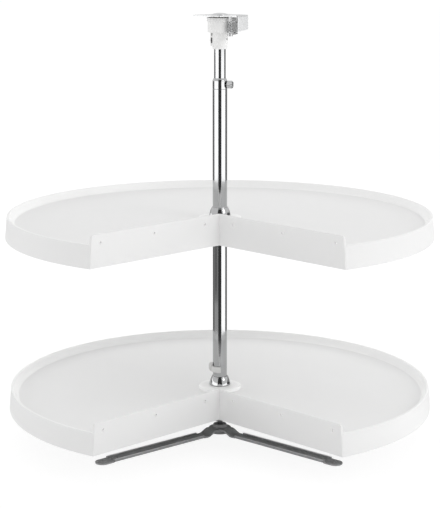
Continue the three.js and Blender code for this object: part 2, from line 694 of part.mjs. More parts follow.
function addDetent() {
  const headTop = armLevel - seatGap;
  add('detent_post', turned([
    [0, headTop - postHeadHeight], [postHeadRadius, headTop - postHeadHeight], [postHeadRadius, headTop],
    [postRadius, headTop], [postRadius, plateTop], [0, plateTop],
  ], small).translate(post.x, post.y, 0), zincSteel);

  const plan = prism(capsule(post, rollerCentre, armWidthSmall / 2), armLevel, armLevel + armSheet);
  const postHole = disc(postRadius + seatGap, armLevel - 1, armLevel + armSheet + 1, small)
    .translate(post.x, post.y, 0);
  const axleHole = disc(axleRadius + seatGap / 2, armLevel - 1, armLevel + armSheet + 1, small)
    .translate(rollerCentre.x, rollerCentre.y, 0);
  add('detent_arm', cut(plan, postHole, axleHole), zincSteel);

  const rollerFoot = camLevel + 1.5;
  const rollerTop = rollerFoot + rollerHeight;
  add('detent_roller', turned([
    [axleRadius + seatGap, rollerFoot], [rollerRadius - 0.6, rollerFoot], [rollerRadius, rollerFoot + 0.6],
    [rollerRadius, rollerTop - 0.6], [rollerRadius - 0.6, rollerTop], [axleRadius + seatGap, rollerTop],
  ], 24).translate(rollerCentre.x, rollerCentre.y, 0), nylon);
  const axleTop = rollerTop + seatGap;
  const axleFoot = armLevel - 1;
  const collarTop = rollerFoot - seatGap;
  add('roller_axle', turned([
    [0, axleFoot], [axleRadius, axleFoot], [axleRadius, armLevel + armSheet + seatGap],
    [axleHeadRadius, armLevel + armSheet + seatGap], [axleHeadRadius, collarTop], [axleRadius, collarTop],
    [axleRadius, axleTop], [axleHeadRadius, axleTop], [axleHeadRadius, axleTop + axleHeadHeight],
    [0, axleTop + axleHeadHeight],
  ], small).translate(rollerCentre.x, rollerCentre.y, 0), springSteel);
}

// Torsion coil round the post: one unbroken wire, a helix with a straight leg at each end.
class CoilPath extends THREE.Curve {
  constructor(foot) {
    super();
    this.foot = foot;
    this.turnLength = Math.hypot(2 * Math.PI * coilRadius, coilPitch);
    this.total = 2 * coilLeg + coilTurns * this.turnLength;
  }

  helixPoint(turns) {
    const angle = 2 * Math.PI * turns + rad(postTurn);
    const height = this.foot + coilPitch * turns;
    return new THREE.Vector3(coilRadius * Math.cos(angle), coilRadius * Math.sin(angle), height);
  }

  helixHeading(turns) {
    return this.helixPoint(turns + 0.001).sub(this.helixPoint(turns - 0.001)).normalize();
  }

  getPoint(share) {
    const run = share * this.total;
    const coilLength = coilTurns * this.turnLength;
    if (run < coilLeg) return this.helixPoint(0).addScaledVector(this.helixHeading(0), run - coilLeg);
    if (run <= coilLeg + coilLength) return this.helixPoint((run - coilLeg) / this.turnLength);
    const past = run - coilLeg - coilLength;
    return this.helixPoint(coilTurns).addScaledVector(this.helixHeading(coilTurns), past);
  }
}

// Least gap between the wire's turns, measured on points more than half a turn apart.
function leastCoilGap(path) {
  const steps = 40 * coilTurns;
  const points = path.getSpacedPoints(steps);
  const apart = Math.ceil((path.turnLength * 0.5 * steps) / path.total);
  let least = Infinity;
  for (let i = 0; i < points.length; i += 1) {
    for (let j = i + apart; j < points.length; j += 1) {
      least = Math.min(least, points[i].distanceTo(points[j]) - coilWire);
    }
  }
  return least;
}

function addDetentSpring() {
  const path = new CoilPath(armLevel + armSheet + seatGap + 1.6);
  const section = new THREE.Shape();
  const sides = 5;
  for (let i = 0; i < sides; i += 1) {
    const corner = polar(coilWire / 2, (360 / sides) * i);
    if (i === 0) section.moveTo(corner.x, corner.y);
    else section.lineTo(corner.x, corner.y);
  }
  section.closePath();
  const steps = 8 * coilTurns + 4;
  const wire = new THREE.ExtrudeGeometry(section, { steps, extrudePath: path, bevelEnabled: false });
  add('detent_spring', wire.translate(post.x, post.y, 0), springSteel);
  console.log(`detent_spring: least gap between turns ${leastCoilGap(path).toFixed(2)} mm`);
}

addFloorBracket();
addFloorPivot();
addPoles();
addThumbScrew();
addTray('lower', lowerTrayLevel);
addTray('upper', upperTrayLevel);
addPoleClip();
addCamHub();
addTopPlate();
addTopPivot();
addDetent();
addDetentSpring();

export default model;
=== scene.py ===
import functools
import json
import math

import bmesh
import bpy
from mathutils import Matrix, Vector


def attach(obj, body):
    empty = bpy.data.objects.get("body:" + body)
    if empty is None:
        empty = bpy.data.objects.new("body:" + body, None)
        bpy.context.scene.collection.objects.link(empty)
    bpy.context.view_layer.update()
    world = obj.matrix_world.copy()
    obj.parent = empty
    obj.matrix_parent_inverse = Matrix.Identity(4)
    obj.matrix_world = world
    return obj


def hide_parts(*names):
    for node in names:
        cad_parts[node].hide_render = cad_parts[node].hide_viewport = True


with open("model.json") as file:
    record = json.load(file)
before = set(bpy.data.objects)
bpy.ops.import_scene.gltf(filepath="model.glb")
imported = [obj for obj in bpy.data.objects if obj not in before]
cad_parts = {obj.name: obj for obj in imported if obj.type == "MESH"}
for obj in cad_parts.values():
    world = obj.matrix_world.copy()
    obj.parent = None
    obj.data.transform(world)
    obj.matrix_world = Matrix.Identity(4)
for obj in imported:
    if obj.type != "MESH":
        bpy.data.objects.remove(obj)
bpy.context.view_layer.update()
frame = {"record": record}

# Corner carousel: two pie-cut trays on a telescoping pole, between a floor bracket and a top plate.
# Sizes are in millimetres as on the drawing; MM turns them into the scene's metres.
MM = 0.001

BODIES = frame["record"]["behaviour"]["bodies"]
BODY_OF = {node: body for body, members in BODIES.items() for node in members}

# ------------------------------------------------------------------ the drawing's sizes

# Room between parts that sit or turn on each other.
SEAT_GAP = 0.3

# Trays: heights above the skirt's foot, and door holes along the notch's walls from its apex.
TRAY_RADIUS = 355.6
TRAY_STEPS = 216
SKIRT_DRAFT = 3.2
SKIRT_WALL = 3
RIM_HEIGHT = 36.3
RIM_WIDTH = 4.5
RIM_LEAN = 5
TRAY_FLOOR = 23.3
FLOOR_WALL = 3
NOTCH_APEX = 111.2
NOTCH_WALL_HEIGHT = 51
NOTCH_WALL = 3.5
LOWER_TRAY = 56
UPPER_TRAY = LOWER_TRAY + 290.7
TRAY_HUB_RADIUS = 35.5
TRAY_HUB_TOP = 28.8
TRAY_TUBE_RADIUS = 19
TRAY_TUBE_FOOT = 2
RIB_COUNT = 12
RIB_DEPTH = 9
RIB_HALF = 1.1
RIB_RING_RADIUS = 190
DOOR_HOLES = (31, 139, 247)
DOOR_HOLE_HEIGHT = 38
DOOR_HOLE_RADIUS = 2.2

# Main pole, inner pole and the sleeve on the main pole's end. POLE_FIT is what sits in the main pole.
POLE_RADIUS = 12
POLE_BORE = 10.8
POLE_FIT = 10.5
POLE_HOLE = POLE_RADIUS + SEAT_GAP
POLE_FOOT = 24.8
INNER_RADIUS = 9.525
INNER_BORE = 8.525
INNER_CLEAR = INNER_RADIUS + SEAT_GAP
INNER_FOOT = 437
INNER_TOP = 690
SLEEVE_TAIL = 562
SLEEVE_FOOT = 587
SLEEVE_TOP = 604.5

# Seats under the tray hubs, bell collars over them, and the clip.
SEAT_RADIUS = 18
SEAT_DEPTH = 9
SEAT_PIN_DROP = 4.5
SEAT_PIN_RADIUS = 2
COLLAR_SCREW_RISE = 4.6
COLLAR_SCREW_RADIUS = 2.4
CLIP_FOOT = LOWER_TRAY + 52
CLIP_HEIGHT = 10
CLIP_RADIUS = 15.3

# Floor bracket: places along an arm are distances from the pole's axis.
ARM_START = 12
ARM_LENGTH = 262
ARM_WIDTH = 24
ARM_SPREAD = 48.5
ARM_RAMP = (20.5, 33.5)
ARM_HOLES = (231.5, 221.5)
ARM_HOLE_RADIUS = 2.2
ARM_SLOT = (243.2, 254.8)
ARM_SLOT_HALF = 2.6
LIP_START = 44
LIP_END = 234
LIP_FADE = 6
LIP_RISE = 3.9
LIP_TOP = 5.0
EYE_RADIUS = 19
EYE_BORE = 7.3
EYE_LEVEL = 6.5
BRACKET_SHEET = 2.5

# Pivot stud at the floor, as thick as the pin at the top, and the ball on the stud.
PIVOT_RADIUS = 4
PIVOT_BORE = PIVOT_RADIUS + SEAT_GAP
STUD_TOP = 34
BALL_RADIUS = 3.5
BALL_LEVEL = 37.8

# Screws in the sleeve and the collars, with their turns about the pole.
THUMB_TURN = -20
THUMB_LEVEL = 594.3
THUMB_THREAD = 2.5
SET_SCREW_TURN = -35

# Cam hub, its cross pin and its clamp screw.
HUB_FOOT = 652
HUB_RADIUS = 13
CAM_FOOT = 679
CAM_TOP = 696
CAM_RADIUS = 20
HUB_TOP = 703
PIN_TURN = -25
PIN_LEVEL = HUB_FOOT + 16
PIN_RADIUS = 1.5
CLAMP_LEVEL = HUB_FOOT + 14
CLAMP_RADIUS = 1.9

# Top plate, as it lies before its turn of 45 degrees, and the head of its pin.
PLATE_FOOT = 705.4
PLATE_TOP = 707
PLATE_HALF = 31
PLATE_REACH = 34
PLATE_FOLD = 10
PLATE_RELIEF = 703.4
PLATE_HOLES = ((-23, -23), (-23, 23), (23, -23), (19, 28))
PIN_HEAD_SINK = 0.5
PIN_HEAD_RADIUS = 13

# Detent: lever, roller, post and coil.
LEVER_LEVEL = 676
LEVER_SHEET = 2.5
LEVER_HALF = 4.5
ROLLER_TURN = 5
ROLLER_OFFSET = 24.8
AXLE_RADIUS = 1.8
POST_TURN = -52
POST_OFFSET = 27
POST_RADIUS = 2.6
COIL_FOOT = 680.4
COIL_RADIUS = 4.2
COIL_WIRE = 0.8
COIL_PITCH = 2.7
COIL_TURNS = 6
COIL_LEG = 6


def around(radius, degrees):
    angle = math.radians(degrees)
    return radius * math.cos(angle), radius * math.sin(angle)


POST = around(POST_OFFSET, POST_TURN)
ROLLER = around(ROLLER_OFFSET, ROLLER_TURN)

# ------------------------------------------------------------------ camera

# In metres, degrees and, for the lens, millimetres.
CAMERA_PLACE = (0.0286, -2.5836, 0.8277)
CAMERA_DIP = 11.32
CAMERA_TURN = 0.63
CAMERA_LENS = 111.5


def place_camera():
    """The photograph's view: a long lens from the front, a little above the upper tray."""
    data = bpy.data.cameras.new("photo_camera")
    data.sensor_width = 36
    data.lens = CAMERA_LENS
    data.clip_end = 50
    camera = bpy.data.objects.new("photo_camera", data)
    bpy.context.scene.collection.objects.link(camera)
    camera.location = CAMERA_PLACE
    camera.rotation_euler = (math.radians(90 - CAMERA_DIP), 0, math.radians(CAMERA_TURN))
    bpy.context.scene.camera = camera


# ------------------------------------------------------------------ finishes


class Flow:
    """A number, colour or direction on its way through a finish's nodes."""

    def __init__(self, finish, socket):
        self.finish = finish
        self.socket = socket

    def reckon(self, operation, first, second):
        return self.finish.node("ShaderNodeMath", {"operation": operation}, {0: first, 1: second})

    def __add__(self, other):
        return self.reckon("ADD", self, other)

    def __radd__(self, other):
        return self.reckon("ADD", other, self)

    def __sub__(self, other):
        return self.reckon("SUBTRACT", self, other)

    def __rsub__(self, other):
        return self.reckon("SUBTRACT", other, self)

    def __mul__(self, other):
        return self.reckon("MULTIPLY", self, other)

    def __rmul__(self, other):
        return self.reckon("MULTIPLY", other, self)

    def __pow__(self, other):
        return self.reckon("POWER", self, other)

    def between(self, low, high):
        """0 below low, 1 above high, even in between."""
        sockets = {0: self, 1: low, 2: high, 3: 0.0, 4: 1.0}
        return self.finish.node("ShaderNodeMapRange", {"clamp": True}, sockets)

    def past(self, edge):
        """0 up to an edge in mm, 1 from half a millimetre beyond it."""
        return self.between(edge * MM, (edge + 0.5) * MM)

    def outlets(self, keys):
        """The outputs of this flow's node that the keys name."""
        return [Flow(self.finish, self.socket.node.outputs[key]) for key in keys]


class Finish:
    """The nodes of a material, or of the world, under construction."""

    def __init__(self, owner):
        self.owner = owner
        owner.use_nodes = True
        owner.node_tree.nodes.clear()

    @functools.cached_property
    def place(self):
        return self.node("ShaderNodeTexCoord", out="Object")

    def node(self, kind, settings=None, sockets=None, out=0):
        """Adds a node and gives the flow out of it, or nothing where it has no output."""
        tree = self.owner.node_tree
        made = tree.nodes.new(kind)
        for key, value in (settings or {}).items():
            setattr(made, key, value)
        for key, value in (sockets or {}).items():
            if isinstance(value, Flow):
                tree.links.new(value.socket, made.inputs[key])
            else:
                made.inputs[key].default_value = value
        return Flow(self, made.outputs[out]) if made.outputs else None

    def stretched(self, x, y, z):
        return self.node("ShaderNodeVectorMath", {"operation": "MULTIPLY"}, {0: self.place, 1: (x, y, z)})

    def noise(self, scale, detail=2.0, roughness=0.5, place=None):
        sockets = {"Vector": place or self.place, "Scale": scale, "Detail": detail, "Roughness": roughness}
        return self.node("ShaderNodeTexNoise", {}, sockets)

    def cells(self, scale):
        sockets = {"Vector": self.place, "Scale": scale}
        return self.node("ShaderNodeTexVoronoi", {"feature": "F1"}, sockets, out="Color")

    def blend(self, amount, first, second):
        colours = [(*colour, 1) if isinstance(colour, tuple) else colour for colour in (first, second)]
        sockets = {0: amount, 6: colours[0], 7: colours[1]}
        return self.node("ShaderNodeMix", {"data_type": "RGBA"}, sockets, out=2)

    def parts_of(self, colour_or_place):
        return self.node("ShaderNodeSeparateXYZ", sockets={0: colour_or_place}).outlets(range(3))

    def bump(self, height, depth):
        return self.node("ShaderNodeBump", sockets={"Distance": depth, "Height": height})

    def surface(self, **sockets):
        named = {key.replace("_", " "): value for key, value in sockets.items()}
        return self.shaded(self.node("ShaderNodeBsdfPrincipled", sockets=named))

    def shaded(self, shader):
        self.node("ShaderNodeOutputMaterial", sockets={"Surface": shader})
        return self.owner


def new_finish(name):
    return Finish(bpy.data.materials.new(name))


def tray_painted_light(finish):
    """Painted light: 1 on a tray's raised hub and 0.7 on its rim's inner face and top, clear of the notch
    walls; there the colour is painted whiter to brighten the hub and to lift the shade on the rim.
    """
    x, y, _ = finish.parts_of(finish.place)
    radius = (x * x + y * y) ** 0.5
    hub = 1 - radius.past(TRAY_HUB_RADIUS)
    rim = radius.past(TRAY_RADIUS - 16) - radius.past(TRAY_RADIUS - 4)
    clear_of_walls = (y + (x * x) ** 0.5).past(6 - NOTCH_APEX)
    return hub + rim * clear_of_walls * 0.7


def moulded_plastic(name, colour, shade, gloss, grain=1300.0, painted_light=None):
    """Injection moulding: a faint orange peel, slow flow marks and light rub marks.

    Where a painted-light mask is given, the colour is painted whiter there as painted light, and the
    roughness is lower.
    """
    finish = new_finish(name)
    flow = finish.noise(9.0, 3.0, 0.55)
    specks = finish.noise(1400.0, 1.0)
    rubs = finish.noise(60.0, 4.0, 0.65, finish.stretched(1.0, 0.35, 1.0))
    tone = flow * 0.7 + specks * 0.3
    peel = finish.noise(grain) * 0.6 + finish.noise(grain * 0.2) * 0.4
    paint = finish.blend(tone, shade, colour)
    roughness = gloss + rubs.between(0.35, 0.75) * 0.1 - flow * 0.04
    if painted_light:
        painted_brightness = painted_light(finish)
        # painted light: the colour is whitened where the mask is 1, on the tray's hub and rim
        paint = finish.blend(painted_brightness, paint, (0.96, 0.96, 0.955))
        roughness = roughness - painted_brightness * 0.12
    return finish.surface(
        Base_Color=paint,
        Roughness=roughness,
        Normal=finish.bump(peel, 0.00002),
        IOR=1.49,
        Specular_IOR_Level=0.22,
    )


def chrome_plate(name, colour, gloss):
    """Plated tube: fine polishing lines round the tube and a few hairline rubs along it."""
    finish = new_finish(name)
    lines = finish.noise(1.0, 3.0, 0.6, finish.stretched(60.0, 60.0, 2600.0))
    rubs = finish.noise(1.0, 3.0, 0.6, finish.stretched(900.0, 900.0, 22.0))
    haze = finish.noise(14.0, 3.0, 0.6)
    scratch = rubs.between(0.62, 0.7)
    return finish.surface(
        Base_Color=finish.blend(haze, tuple(c * 0.95 for c in colour), colour),
        Metallic=1.0,
        Roughness=gloss + lines * 0.035 + haze.between(0.4, 0.8) * 0.03 + scratch * 0.05,
        Normal=finish.bump(lines + scratch * 0.4, 0.0000012),
    )


def zinc_sheet(name, colour, shade, gloss, along=(1.0, 1.0, 1.0)):
    """Rolled and zinc plated steel: rolling grain, cloudy plating and small pits."""
    finish = new_finish(name)
    grain = finish.noise(1.0, 4.0, 0.6, finish.stretched(*(value * 700.0 for value in along)))
    clouds = finish.noise(55.0, 4.0, 0.6)
    spangle, _, _ = finish.parts_of(finish.cells(420.0))
    pits = finish.noise(2200.0).between(0.66, 0.74)
    tone = clouds * 0.5 + spangle * 0.2 + grain * 0.3
    return finish.surface(
        Base_Color=finish.blend(tone, shade, colour),
        Metallic=1.0,
        Roughness=gloss + clouds * 0.12 + grain * 0.08 - spangle * 0.05 + pits * 0.1,
        Normal=finish.bump(grain * 0.5 + spangle * 0.2 - pits * 0.6, 0.00002),
    )


def lip_painted_highlight(finish, streaks):
    """Painted highlight: how much paler the tops of the bracket's turned-up lips are painted, in streaks, as
    if they catch the light.
    """
    x, y, z = finish.parts_of(finish.place)
    along = ((x * x + y * y) ** 0.5).between((LIP_START - 2) * MM, (LIP_START + 2) * MM)
    return along * z.between((LIP_TOP - 0.5) * MM, LIP_TOP * MM) * (0.6 + streaks * 0.7)


def dark_steel(name, colour, shade, gloss, metal, painted_highlight=None):
    """Pressed steel with a dark plating that is rubbed paler in streaks, with a painted highlight laid on
    where a mask is given.
    """
    finish = new_finish(name)
    clouds = finish.noise(38.0, 5.0, 0.65)
    streaks = finish.noise(1.0, 4.0, 0.6, finish.stretched(260.0, 260.0, 900.0))
    wear = (clouds * 0.6 + streaks * 0.4).between(0.5, 0.68)
    fine = finish.noise(1500.0)
    paint = finish.blend(wear, shade, colour)
    if painted_highlight:
        # painted highlight: the lips' top edges are painted pale, as if light catches them
        paint = finish.blend(painted_highlight(finish, streaks), paint, (0.85, 0.85, 0.86))
    return finish.surface(
        Base_Color=paint,
        Metallic=metal,
        Roughness=gloss + (1 - wear) * 0.14 + fine * 0.06,
        Normal=finish.bump(fine * 0.5 + streaks * 0.5, 0.00002),
    )


def make_finishes():
    """Each finish by its slot, with its lighter tone, its darker one and its base roughness."""
    return {
        # The trays' colour carries painted light on the hub and the rim.
        "tray_white": moulded_plastic(
            "tray_white_styrene", (0.87, 0.87, 0.868), (0.85, 0.85, 0.848), 0.5, 900.0, tray_painted_light),
        "hub_white": moulded_plastic(
            "hub_white_acetal", (0.92, 0.92, 0.915), (0.88, 0.88, 0.875), 0.42),
        "clip_grey": moulded_plastic(
            "clip_pale_grey", (0.72, 0.72, 0.71), (0.66, 0.66, 0.65), 0.42),
        "nylon": moulded_plastic(
            "nylon_natural", (0.78, 0.76, 0.7), (0.71, 0.69, 0.63), 0.45),
        "dark_plastic": moulded_plastic(
            "dark_acetal", (0.46, 0.46, 0.465), (0.38, 0.38, 0.385), 0.4),
        "chrome": chrome_plate(
            "chrome_tube", (0.46, 0.464, 0.468), 0.05),
        "zinc_steel": zinc_sheet(
            "zinc_plate", (0.64, 0.644, 0.648), (0.55, 0.554, 0.558), 0.24),
        # The bracket's colour carries a painted highlight along its lips' tops.
        "bracket_steel": dark_steel(
            "pressed_dark_steel", (0.5, 0.503, 0.51), (0.34, 0.342, 0.348), 0.36, 0.25, lip_painted_highlight),
        "screw_steel": dark_steel(
            "screw_steel", (0.16, 0.162, 0.166), (0.09, 0.092, 0.094), 0.3, 0.8),
        "spring_steel": zinc_sheet(
            "spring_wire", (0.5, 0.508, 0.516), (0.37, 0.374, 0.378), 0.22, (0.2, 0.2, 3.0)),
    }


FINISH = make_finishes()

# ------------------------------------------------------------------ bench tools

# Points that are closer than this, in mm, are one point.
WELD = 0.001


def put_down():
    """Leaves edit mode with nothing selected."""
    if bpy.context.object and bpy.context.object.mode != "OBJECT":
        bpy.ops.object.mode_set(mode="OBJECT")
    bpy.ops.object.select_all(action="DESELECT")


def pick_up(piece):
    """Selects one piece and makes it the active one."""
    put_down()
    piece.select_set(True)
    bpy.context.view_layer.objects.active = piece


def edit(piece):
    pick_up(piece)
    bpy.ops.object.mode_set(mode="EDIT")
    bpy.ops.mesh.select_mode(type="VERT")


def choose(kind, test):
    """Selects the points ("VERT") or edges ("EDGE") whose middle, in mm, passes the test."""
    piece = bpy.context.edit_object
    bpy.ops.mesh.select_mode(type=kind)
    bpy.ops.mesh.select_all(action="DESELECT")
    mesh = bmesh.from_edit_mesh(piece.data)
    for item in mesh.verts if kind == "VERT" else mesh.edges:
        middle = item.co if kind == "VERT" else (item.verts[0].co + item.verts[1].co) / 2
        if test(piece.matrix_world @ middle / MM, item):
            item.select = True
    mesh.select_flush_mode()
    bmesh.update_edit_mesh(piece.data)


def settle(piece):
    """Puts the piece's origin at the scene's origin, unturned and unscaled."""
    pick_up(piece)
    bpy.ops.object.transform_apply(location=True, rotation=True, scale=True)
    return piece


def outwards(piece):
    """Welds the points that meet, drops loose ones, fills slivers and turns the faces outwards."""
    edit(piece)
    bpy.ops.mesh.select_all(action="SELECT")
    bpy.ops.mesh.remove_doubles(threshold=WELD * MM)
    bpy.ops.mesh.delete_loose(use_verts=True, use_edges=True, use_faces=False)
    bpy.ops.mesh.select_all(action="SELECT")
    bpy.ops.mesh.fill_holes(sides=4)
    bpy.ops.mesh.select_all(action="SELECT")
    bpy.ops.mesh.normals_make_consistent(inside=False)
    put_down()
    return piece


def at_corner(at, corner):
    return math.dist((at.x, at.z), corner[:2]) < 0.01


def turned(name, corners, steps=128):
    """Spins an outline of (radius, height[, rounding]) corners about Z, as on a lathe.

    An outline that doesn't begin and end on the axis is closed first.
    """
    put_down()
    first, last = corners[0], corners[-1]
    bpy.ops.mesh.primitive_plane_add(size=MM, location=(first[0] * MM, 0, first[1] * MM))
    piece = bpy.context.active_object
    piece.name = piece.data.name = name
    edit(piece)
    bpy.ops.mesh.select_all(action="SELECT")
    bpy.ops.mesh.merge(type="CENTER")
    for before, after in zip(corners, corners[1:]):
        step = ((after[0] - before[0]) * MM, 0, (after[1] - before[1]) * MM)
        bpy.ops.mesh.extrude_vertices_move(TRANSFORM_OT_translate={"value": step})
    if first[0] > 0 or last[0] > 0:
        choose("VERT", lambda at, _: at_corner(at, first) or at_corner(at, last))
        bpy.ops.mesh.edge_face_add()
    for corner in corners:
        if len(corner) == 3:
            choose("VERT", lambda at, _: at_corner(at, corner))
            bpy.ops.mesh.bevel(affect="VERTICES", offset=corner[2] * MM, segments=4)
    bpy.ops.mesh.select_mode(type="VERT")
    bpy.ops.mesh.select_all(action="SELECT")
    bpy.ops.mesh.spin(steps=steps, angle=2 * math.pi, center=(0, 0, 0), axis=(0, 0, 1))
    outwards(piece)
    return settle(piece)


def moved(piece, x=0.0, y=0.0, z=0.0, turn=(0.0, 0.0, 0.0)):
    """Turns a piece about the origin, in degrees, then moves it, in mm."""
    piece.rotation_euler = [math.radians(value) for value in turn]
    piece.location = (x * MM, y * MM, z * MM)
    return settle(piece)


def lying(piece, level, degrees):
    """Lays an upright turned piece along X at a level, then turns it about the pole."""
    moved(piece, turn=(0, 90, 0))
    return moved(piece, z=level, turn=(0, 0, degrees))


def block(name, low, high, rounding=0.0, segments=3, test=None):
    """A cube pulled to its corners in mm, with the chosen edges rounded."""
    put_down()
    middle = [(a + b) / 2 * MM for a, b in zip(low, high)]
    bpy.ops.mesh.primitive_cube_add(size=1, location=middle)
    piece = bpy.context.active_object
    piece.name = piece.data.name = name
    piece.scale = [(b - a) * MM for a, b in zip(low, high)]
    settle(piece)
    if rounding:
        edit(piece)
        choose("EDGE", test or (lambda at, _: True))
        bpy.ops.mesh.bevel(offset=rounding * MM, segments=segments, affect="EDGES")
        put_down()
    return piece


def rod(name, radius, low, high, steps=32):
    """A plain round bar along Z, for cutting holes."""
    return turned(name, [(0, low), (radius, low), (radius, high), (0, high)], steps)


def applied(piece, kind, **settings):
    """Adds a modifier with its settings and applies it."""
    pick_up(piece)
    modifier = piece.modifiers.new(kind.lower(), kind)
    for key, value in settings.items():
        setattr(modifier, key, value)
    bpy.ops.object.modifier_apply(modifier=modifier.name)
    return piece


def joined(*pieces):
    put_down()
    for piece in pieces:
        piece.select_set(True)
    bpy.context.view_layer.objects.active = pieces[0]
    bpy.ops.object.join()
    return pieces[0]


def mirrored(piece):
    """Turns a piece of the notch's right side into its left one."""
    pick_up(piece)
    piece.scale = (-1, 1, 1)
    settle(piece)
    return outwards(piece)


def worked(piece, tools, operation):
    """Cuts away, welds on or keeps the overlap with the tools, which are then put away."""
    for tool in tools:
        applied(piece, "BOOLEAN", operation=operation, object=tool, solver="EXACT")
        bpy.data.objects.remove(tool)
    return piece


def cut(piece, *tools):
    return worked(piece, tools, "DIFFERENCE")


def welded(piece, *tools):
    return worked(piece, tools, "UNION")


def stand_for(piece, node, slot, smooth=32):
    """Gives a finished piece its material and body, and hides the solid that it stands for."""
    outwards(piece)
    pick_up(piece)
    bpy.ops.object.shade_smooth_by_angle(angle=math.radians(smooth))
    applied(piece, "WEIGHTED_NORMAL", keep_sharp=True, weight=80)
    piece.data.materials.clear()
    piece.data.materials.append(FINISH[slot])
    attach(piece, BODY_OF[node])
    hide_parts(node)


# ------------------------------------------------------------------ trays


def skirt_radius(height):
    return TRAY_RADIUS - SKIRT_DRAFT * height / RIM_HEIGHT


def tray_dish():
    """Hub, floor, rim and skirt of a tray in one turning, with the skirt's foot at 0."""
    rim_outer = skirt_radius(RIM_HEIGHT)
    rim_inner = rim_outer - RIM_WIDTH
    floor_edge = rim_inner - RIM_LEAN
    underside = TRAY_FLOOR - FLOOR_WALL
    under_rim = RIM_HEIGHT - 2.5
    return turned("tray_dish", [
        (POLE_HOLE, TRAY_TUBE_FOOT), (TRAY_TUBE_RADIUS, TRAY_TUBE_FOOT, 0.6),
        (TRAY_TUBE_RADIUS, underside, 1.5), (floor_edge + 2.6, underside, 1.5),
        (skirt_radius(under_rim) - SKIRT_WALL, under_rim - 6, 1.0),
        (TRAY_RADIUS - SKIRT_WALL, 0, 0.5), (TRAY_RADIUS, 0, 0.5),
        (rim_outer, RIM_HEIGHT, 1.5), (rim_inner, RIM_HEIGHT, 1.4),
        (floor_edge, TRAY_FLOOR, 4.5), (TRAY_HUB_RADIUS, TRAY_FLOOR, 1.2),
        (TRAY_HUB_RADIUS, TRAY_HUB_TOP - 1.2, 1.0), (TRAY_HUB_RADIUS - 6, TRAY_HUB_TOP, 1.5),
        (POLE_HOLE, TRAY_HUB_TOP, 0.3),
    ], TRAY_STEPS)


def notch_wedge(inset, low, high):
    """The quarter that the notch takes out, its faces set back by the inset."""
    apex = -NOTCH_APEX + inset * math.sqrt(2)
    wedge = block("notch_wedge", (0, -800, low), (800, 0, high))
    return moved(wedge, y=apex, turn=(0, 0, -45))


def notch_wall(side):
    """Upright wall on one side of the notch, rounded along its top.

    It runs a little past the tray's outside, where the envelope trims it.
    """
    reach = (-NOTCH_APEX + math.sqrt(2 * TRAY_RADIUS ** 2 - NOTCH_APEX ** 2)) / math.sqrt(2)
    wall = block("notch_wall", (-NOTCH_WALL, 0, 0), (reach + 12, NOTCH_WALL, NOTCH_WALL_HEIGHT))
    edit(wall)
    choose("EDGE", lambda at, _: at.z > NOTCH_WALL_HEIGHT - 0.1 and abs(at.x) < reach)
    bpy.ops.mesh.bevel(offset=0.9 * MM, segments=3, affect="EDGES")
    put_down()
    moved(wall, y=-NOTCH_APEX, turn=(0, 0, -45))
    return mirrored(wall) if side < 0 else wall


def tray_envelope():
    """Outside of the tray, a hair inside the skirt, that trims the walls' outer ends."""
    top = NOTCH_WALL_HEIGHT
    back = 0.3
    corner = skirt_radius(top) - back
    return turned("tray_envelope", [
        (0, -1), (skirt_radius(-1) - back, -1), (TRAY_RADIUS - back, 0), (corner, top, 3.5), (0, top),
    ], TRAY_STEPS)


def door_hole_drills():
    drills = []
    for along in DOOR_HOLES:
        for side in (1, -1):
            drill = rod("door_drill", DOOR_HOLE_RADIUS, -7, 7, 24)
            moved(drill, turn=(90, 0, 0))
            moved(drill, x=along, z=DOOR_HOLE_HEIGHT)
            moved(drill, y=-NOTCH_APEX, turn=(0, 0, -45))
            drills.append(mirrored(drill) if side < 0 else drill)
    return joined(*drills)


def tray_ribs():
    """Twelve ribs under the floor and a ring that crosses them, a hair deeper than they are."""
    low = TRAY_FLOOR - FLOOR_WALL - RIB_DEPTH
    foot = low + 0.05
    high = TRAY_FLOOR - FLOOR_WALL / 2
    near, far = RIB_RING_RADIUS - RIB_HALF, RIB_RING_RADIUS + RIB_HALF
    ring = turned("rib_ring", [(near, low, 0.4), (far, low, 0.4), (far, high), (near, high)], 144)
    start, end = TRAY_TUBE_RADIUS - 1, skirt_radius(low) - 1.5
    ribs = []
    for i in range(RIB_COUNT):
        rib = block("rib", (start, -RIB_HALF, foot), (end, RIB_HALF, high), 0.4, 2,
                    lambda at, _: at.z < foot + 0.1 and start + 10 < at.x < end - 10)
        ribs.append(moved(rib, turn=(0, 0, 360 / RIB_COUNT * (i + 0.5))))
    return welded(ring, joined(*ribs))


def make_tray():
    """The dish is turned a little first, so that its facets' edges don't fall on the ribs'."""
    dish = welded(moved(tray_dish(), turn=(0, 0, 0.4)), tray_ribs())
    cut(dish, notch_wedge(inset=1.6, low=-5, high=60))
    walls = welded(notch_wall(1), notch_wall(-1))
    worked(walls, [tray_envelope()], "INTERSECT")
    welded(dish, walls)
    return cut(dish, door_hole_drills())


def make_trays():
    lower = make_tray()
    lower.name = lower.data.name = "lower_tray_moulding"
    put_down()
    upper = lower.copy()
    upper.data = lower.data.copy()
    upper.name = upper.data.name = "upper_tray_moulding"
    bpy.context.scene.collection.objects.link(upper)
    stand_for(moved(lower, z=LOWER_TRAY), "lower_tray", "tray_white", 28)
    stand_for(moved(upper, z=UPPER_TRAY), "upper_tray", "tray_white", 28)


# ------------------------------------------------------------------ poles, collars and seats


def seat_pin_level(tray_level):
    return tray_level + TRAY_TUBE_FOOT - SEAT_GAP - SEAT_PIN_DROP


